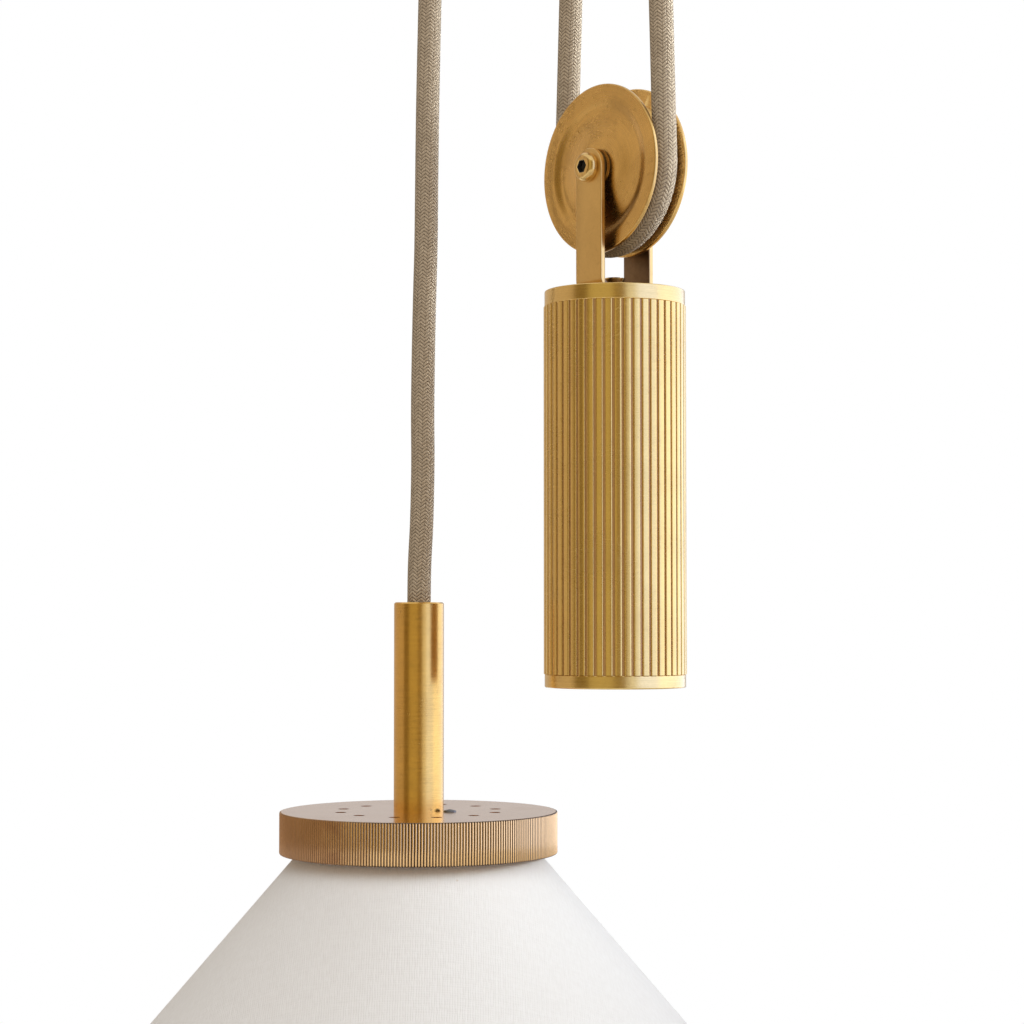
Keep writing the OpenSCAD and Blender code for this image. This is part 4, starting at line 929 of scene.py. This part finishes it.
def cut(mesh, cutters, sharp=40):
    """The mesh less the cutters' bodies, as real holes."""
    body = shown("to_cut", mesh)
    tools = []
    for points, faces in cutters:
        tool = shown("cutter", mesh_of("cutter", points, faces))
        step = body.modifiers.new("hole", "BOOLEAN")
        step.operation, step.solver, step.object = "DIFFERENCE", "EXACT", tool
        tools.append(tool)
    bpy.context.view_layer.update()
    made = bpy.data.meshes.new_from_object(body.evaluated_get(bpy.context.evaluated_depsgraph_get()))
    for spare in [body, *tools]:
        bpy.data.objects.remove(spare)
    made.shade_smooth()
    made.set_sharp_from_angle(angle=math.radians(sharp))
    return made


def rod(x, y, r, low, high, sides=32):
    """A plain round bar upright at x and y, for cutting holes."""
    points = [(x + px, y + py, z) for z in (low, high) for px, py in circle(r, sides)]
    return points, walls(2, sides)


earth = middle("cap_earth_screw") - lamp_at
holes = [rod(earth.x, earth.y, EARTH_HOLE_R, *HOLE_CUT)]
for i in range(VENTS):
    a = 2 * math.pi * (i + 0.5) / VENTS
    holes.append(rod(VENT_PCD / 2 * math.cos(a), VENT_PCD / 2 * math.sin(a), VENT_D / 2, *HOLE_CUT))
rim = mesh_of("knurled_cap", *knurled(cap_r - CAP_WALL, cap_r, cap_h, CAP_ROOF, CAP_CORNER))
cap_mesh = cut(rim, holes, sharp=28)

brown, tree = material("brown_brass")
place = own_place(tree)
finish = patinated(tree, place, (0.84, 0.53, 0.24), (0.34, 0.18, 0.075), stain=0.14, specks=0.2, lines=0.0,
                   cloud=48.0)
parts, reach = off_axis(tree, place)
valley = ramp(tree, reach, cap_r - 0.50 * KNURL_DEPTH, cap_r - 0.10 * KNURL_DEPTH, 1, 0)
on_side = sums(tree, "GREATER_THAN", reach, cap_r - 0.6 * MM)
# Painted shade: the rim turns darker and browner towards its left side, with a blotchy edge
blotch = noise(tree, place, 110, detail=5, Roughness=0.7)
ragged = sums(tree, "MULTIPLY_ADD", sums(tree, "SUBTRACT", blotch, 0.5), 0.03, parts[0])
painted_shade_left = ramp(tree, ragged, -0.62 * cap_r, -0.25 * cap_r, 0.85, 0)
painted_shade_left = sums(tree, "MULTIPLY", painted_shade_left, on_side)
painted_shade_tone = mixed(tree, blotch, (0.22, 0.08, 0.022, 1), (0.52, 0.25, 0.09, 1))
metal = mixed(tree, painted_shade_left, finish["Colour"], painted_shade_tone)
# Painted shade: the knurl grooves are nearly black and matt, less so on the painted-shade left side
groove_shade = sums(tree, "MULTIPLY", sums(tree, "MULTIPLY", valley, on_side),
            sums(tree, "MULTIPLY_ADD", painted_shade_left, -0.6, 0.97))
skin(tree, mixed(tree, groove_shade, metal, (0.030, 0.013, 0.006, 1)),
     Metallic=sums(tree, "MULTIPLY_ADD", groove_shade, -0.9, sums(tree, "MULTIPLY_ADD", painted_shade_left, -0.4, 1.0)),
     Roughness=sums(tree, "ADD", finish["Rough"], sums(tree, "MULTIPLY_ADD", groove_shade, 0.4, 0.19)),
     Coat_Weight=0.15, Coat_Roughness=0.25)
piece("knurled_shade_cap", cap_mesh, brown, "lamp", ["shade_cap"], raised(lamp_at, low.z))


# ---- Lampholder -------------------------------------------------------------------------------
# A brass lampholder under the cap: domed top, threaded skirt with the ring that clamps the
# shade, and a glazed porcelain inside with its threaded shell and centre contact.

finished(satin, "aged_brass", "holder_top", "holder_skirt", "shade_ring", "socket_shell", "socket_contact")
glaze = plain_skin("glazed_porcelain", (0.84, 0.82, 0.77), (0.78, 0.76, 0.70), rough=0.12, scale=60,
                   depth=0.0, Coat_Weight=0.6)
finished(glaze, "porcelain", "holder_insert")
enamel = plain_skin("white_enamel", (0.82, 0.82, 0.80), (0.76, 0.76, 0.73), rough=0.34, scale=150, depth=0.02,
                    Coat_Weight=0.3)
finished(enamel, "white_wire", "shade_carrier", "shade_bottom_wire")


# ---- Shade ------------------------------------------------------------------------------------
# A cone of off-white linen, glued on a stiff white backing and cut from the flat. Its hems turn
# in round the top and bottom wires, and its ends overlap in a glued seam at the back.

LINEN_T = 0.45 * MM
WALL_T = 1.6 * MM  # linen and backing together, measured level
WIRE_R = 1.5 * MM
WIRE_IN = 2.5 * MM  # the wires' height inside the shade's ends
PAST_WIRE = 2.5 * MM  # from a wire's middle to where its hem lies flat
HEM_W = 11 * MM
HEM_FOLD_IN = 1.2 * MM  # how far from the edge the fold starts inside
BACKING_IN = 1.5 * MM  # how far the backing ends short of the linen
SHADE_SIDES = 192
SLOPE_STEPS = 24
SEAM_W = 9 * MM
SEAM_STEPS = 6
THREAD = 0.85 * MM

low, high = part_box("shade")
bottom_r, shade_h = (high.x - low.x) / 2, high.z - low.z
top_r = 39 * MM
slope = math.atan2(bottom_r - top_r, shade_h)
slant = math.hypot(bottom_r - top_r, shade_h)
backing_in = WALL_T * math.cos(slope)


def on_cone(along, deep):
    """Radius and height of a point that far down the slope from the top edge, and that deep in."""
    return (top_r + along * math.sin(slope) - deep * math.cos(slope),
            shade_h - along * math.cos(slope) - deep * math.sin(slope))


def hem(at_end, inwards):
    """The cloth round one wire, from the outside round the edge to the hem's free end inside."""
    wire_along = at_end + inwards * WIRE_IN / math.cos(slope)
    wire_deep = backing_in + WIRE_R + 0.1 * MM
    round_r = WIRE_R + LINEN_T
    turn = [(wire_along - inwards * round_r * math.sin(a), wire_deep - round_r * math.cos(a))
            for a in [math.radians(d) for d in range(30, 171, 20)]]
    hem_end = at_end + inwards * HEM_W
    fold = at_end + inwards * HEM_FOLD_IN
    return ([(at_end, 0.0), (at_end, 0.5 * MM)] + turn
            + [(wire_along + inwards * PAST_WIRE, backing_in + LINEN_T + 0.15 * MM),
               (hem_end, backing_in + LINEN_T), (hem_end, backing_in), (fold, backing_in), (fold, LINEN_T)])


outer = [(slant * i / SLOPE_STEPS, 0.0) for i in range(1, SLOPE_STEPS)]
cloth = outer + hem(slant, -1) + hem(0.0, 1)[::-1]
linen_mesh = mesh_of("linen", *lathe([on_cone(*p) for p in cloth], SHADE_SIDES), sharp=60)

# The linen's weave in the flat cut: warp threads run down the front, weft threads across it
weave, given, end = group(
    "linen_weave", {"Place": Vector(), "Cone": 0.65, "Thread": 0.0005}, {"Height": float, "Slub": float})
parts, reach = off_axis(weave, given["Place"])
from_apex = sums(weave, "DIVIDE", reach, given["Cone"])
flat_angle = sums(weave, "ARCTAN2", parts[0], sums(weave, "MULTIPLY", parts[1], -1.0))
flat_angle = sums(weave, "MULTIPLY", flat_angle, given["Cone"])


def threads_off(part):
    """How many threads a point of the flat cut lies from the cone's tip, sideways or down the front."""
    metres = sums(weave, "MULTIPLY", from_apex, sums(weave, part, flat_angle))
    return sums(weave, "DIVIDE", metres, given["Thread"])


def slubs(x, y):
    """The thick and thin stretches of the threads."""
    return noise(weave, node(weave, "CombineXYZ", {0: x, 1: y}).outputs[0], 0.9, flat=True)


def ribs(at, wander):
    """Round threads side by side, which wander a little: 1 on their crowns and 0 between them."""
    wave = sums(weave, "MULTIPLY", sums(weave, "ADD", at, wander), math.pi)
    return sums(weave, "ABSOLUTE", sums(weave, "SINE", wave))


warp_at, weft_at = threads_off("SINE"), threads_off("COSINE")
warp_slub = slubs(warp_at, sums(weave, "MULTIPLY", weft_at, 0.22))
weft_slub = slubs(sums(weave, "MULTIPLY", warp_at, 0.12), weft_at)
slub = sums(weave, "ADD", sums(weave, "MULTIPLY", warp_slub, 0.65), sums(weave, "MULTIPLY", weft_slub, 0.35))
cloth_height = sums(weave, "ADD", sums(weave, "MULTIPLY", ribs(warp_at, warp_slub), 0.5),
                    sums(weave, "MULTIPLY", ribs(weft_at, weft_slub), 0.15))
close_group(weave, end, Height=sums(weave, "ADD", cloth_height, slub), Slub=slub)

linen, tree = material("linen")
place = own_place(tree)
threads = put(tree, weave, {"Place": place, "Cone": math.sin(slope), "Thread": THREAD})
tone = ramp(tree, threads["Slub"], 0.35, 0.65)
colour = mixed(tree, tone, (0.745, 0.737, 0.728, 1), (0.775, 0.770, 0.763, 1))
fleck = node(tree, "TexVoronoi", {"Vector": place, "Scale": 42}).outputs["Distance"]
fleck = ramp(tree, fleck, 0.012, 0.022, 0.45, 0)
skin(tree, mixed(tree, fleck, colour, (0.55, 0.46, 0.36, 1)), bumps(tree, threads["Height"], 0.09 * MM),
     Roughness=0.88, Sheen_Weight=0.15, Sheen_Roughness=0.4)

at_shade = raised(lamp_at, low.z)
shade = piece("linen_shade", linen_mesh, linen, "lamp", ["shade"], at_shade)

backing_skin = plain_skin("shade_backing", (0.80, 0.79, 0.76), (0.76, 0.75, 0.71), rough=0.5, scale=90,
                          depth=0.02)
top, foot = BACKING_IN, slant - BACKING_IN
backing = [on_cone(*p) for p in [(top, backing_in), (foot, backing_in), (foot, LINEN_T), (top, LINEN_T)]]
piece("shade_backing", mesh_of("backing", *lathe(backing, SHADE_SIDES)), backing_skin, "lamp",
      ["shade"], at_shade)

# The glued seam: the cloth's end lies over its start down the back
points = []
under = [(k, 0.0) for k in range(SEAM_STEPS + 1)]
over = [(k, LINEN_T) for k in reversed(range(SEAM_STEPS + 1))]
for i in range(SLOPE_STEPS + 1):
    r, z = on_cone(slant * i / SLOPE_STEPS, 0)
    for k, lift in under + over:
        a = math.pi / 2 + SEAM_W * (k / SEAM_STEPS - 0.5) / r
        lifted = r + lift * math.cos(slope)
        points.append((lifted * math.cos(a), lifted * math.sin(a), z + lift * math.sin(slope)))
faces = walls(SLOPE_STEPS + 1, len(under + over))
seam = piece("shade_seam", mesh_of("seam", points, faces), linen, "lamp", [], at_shade)
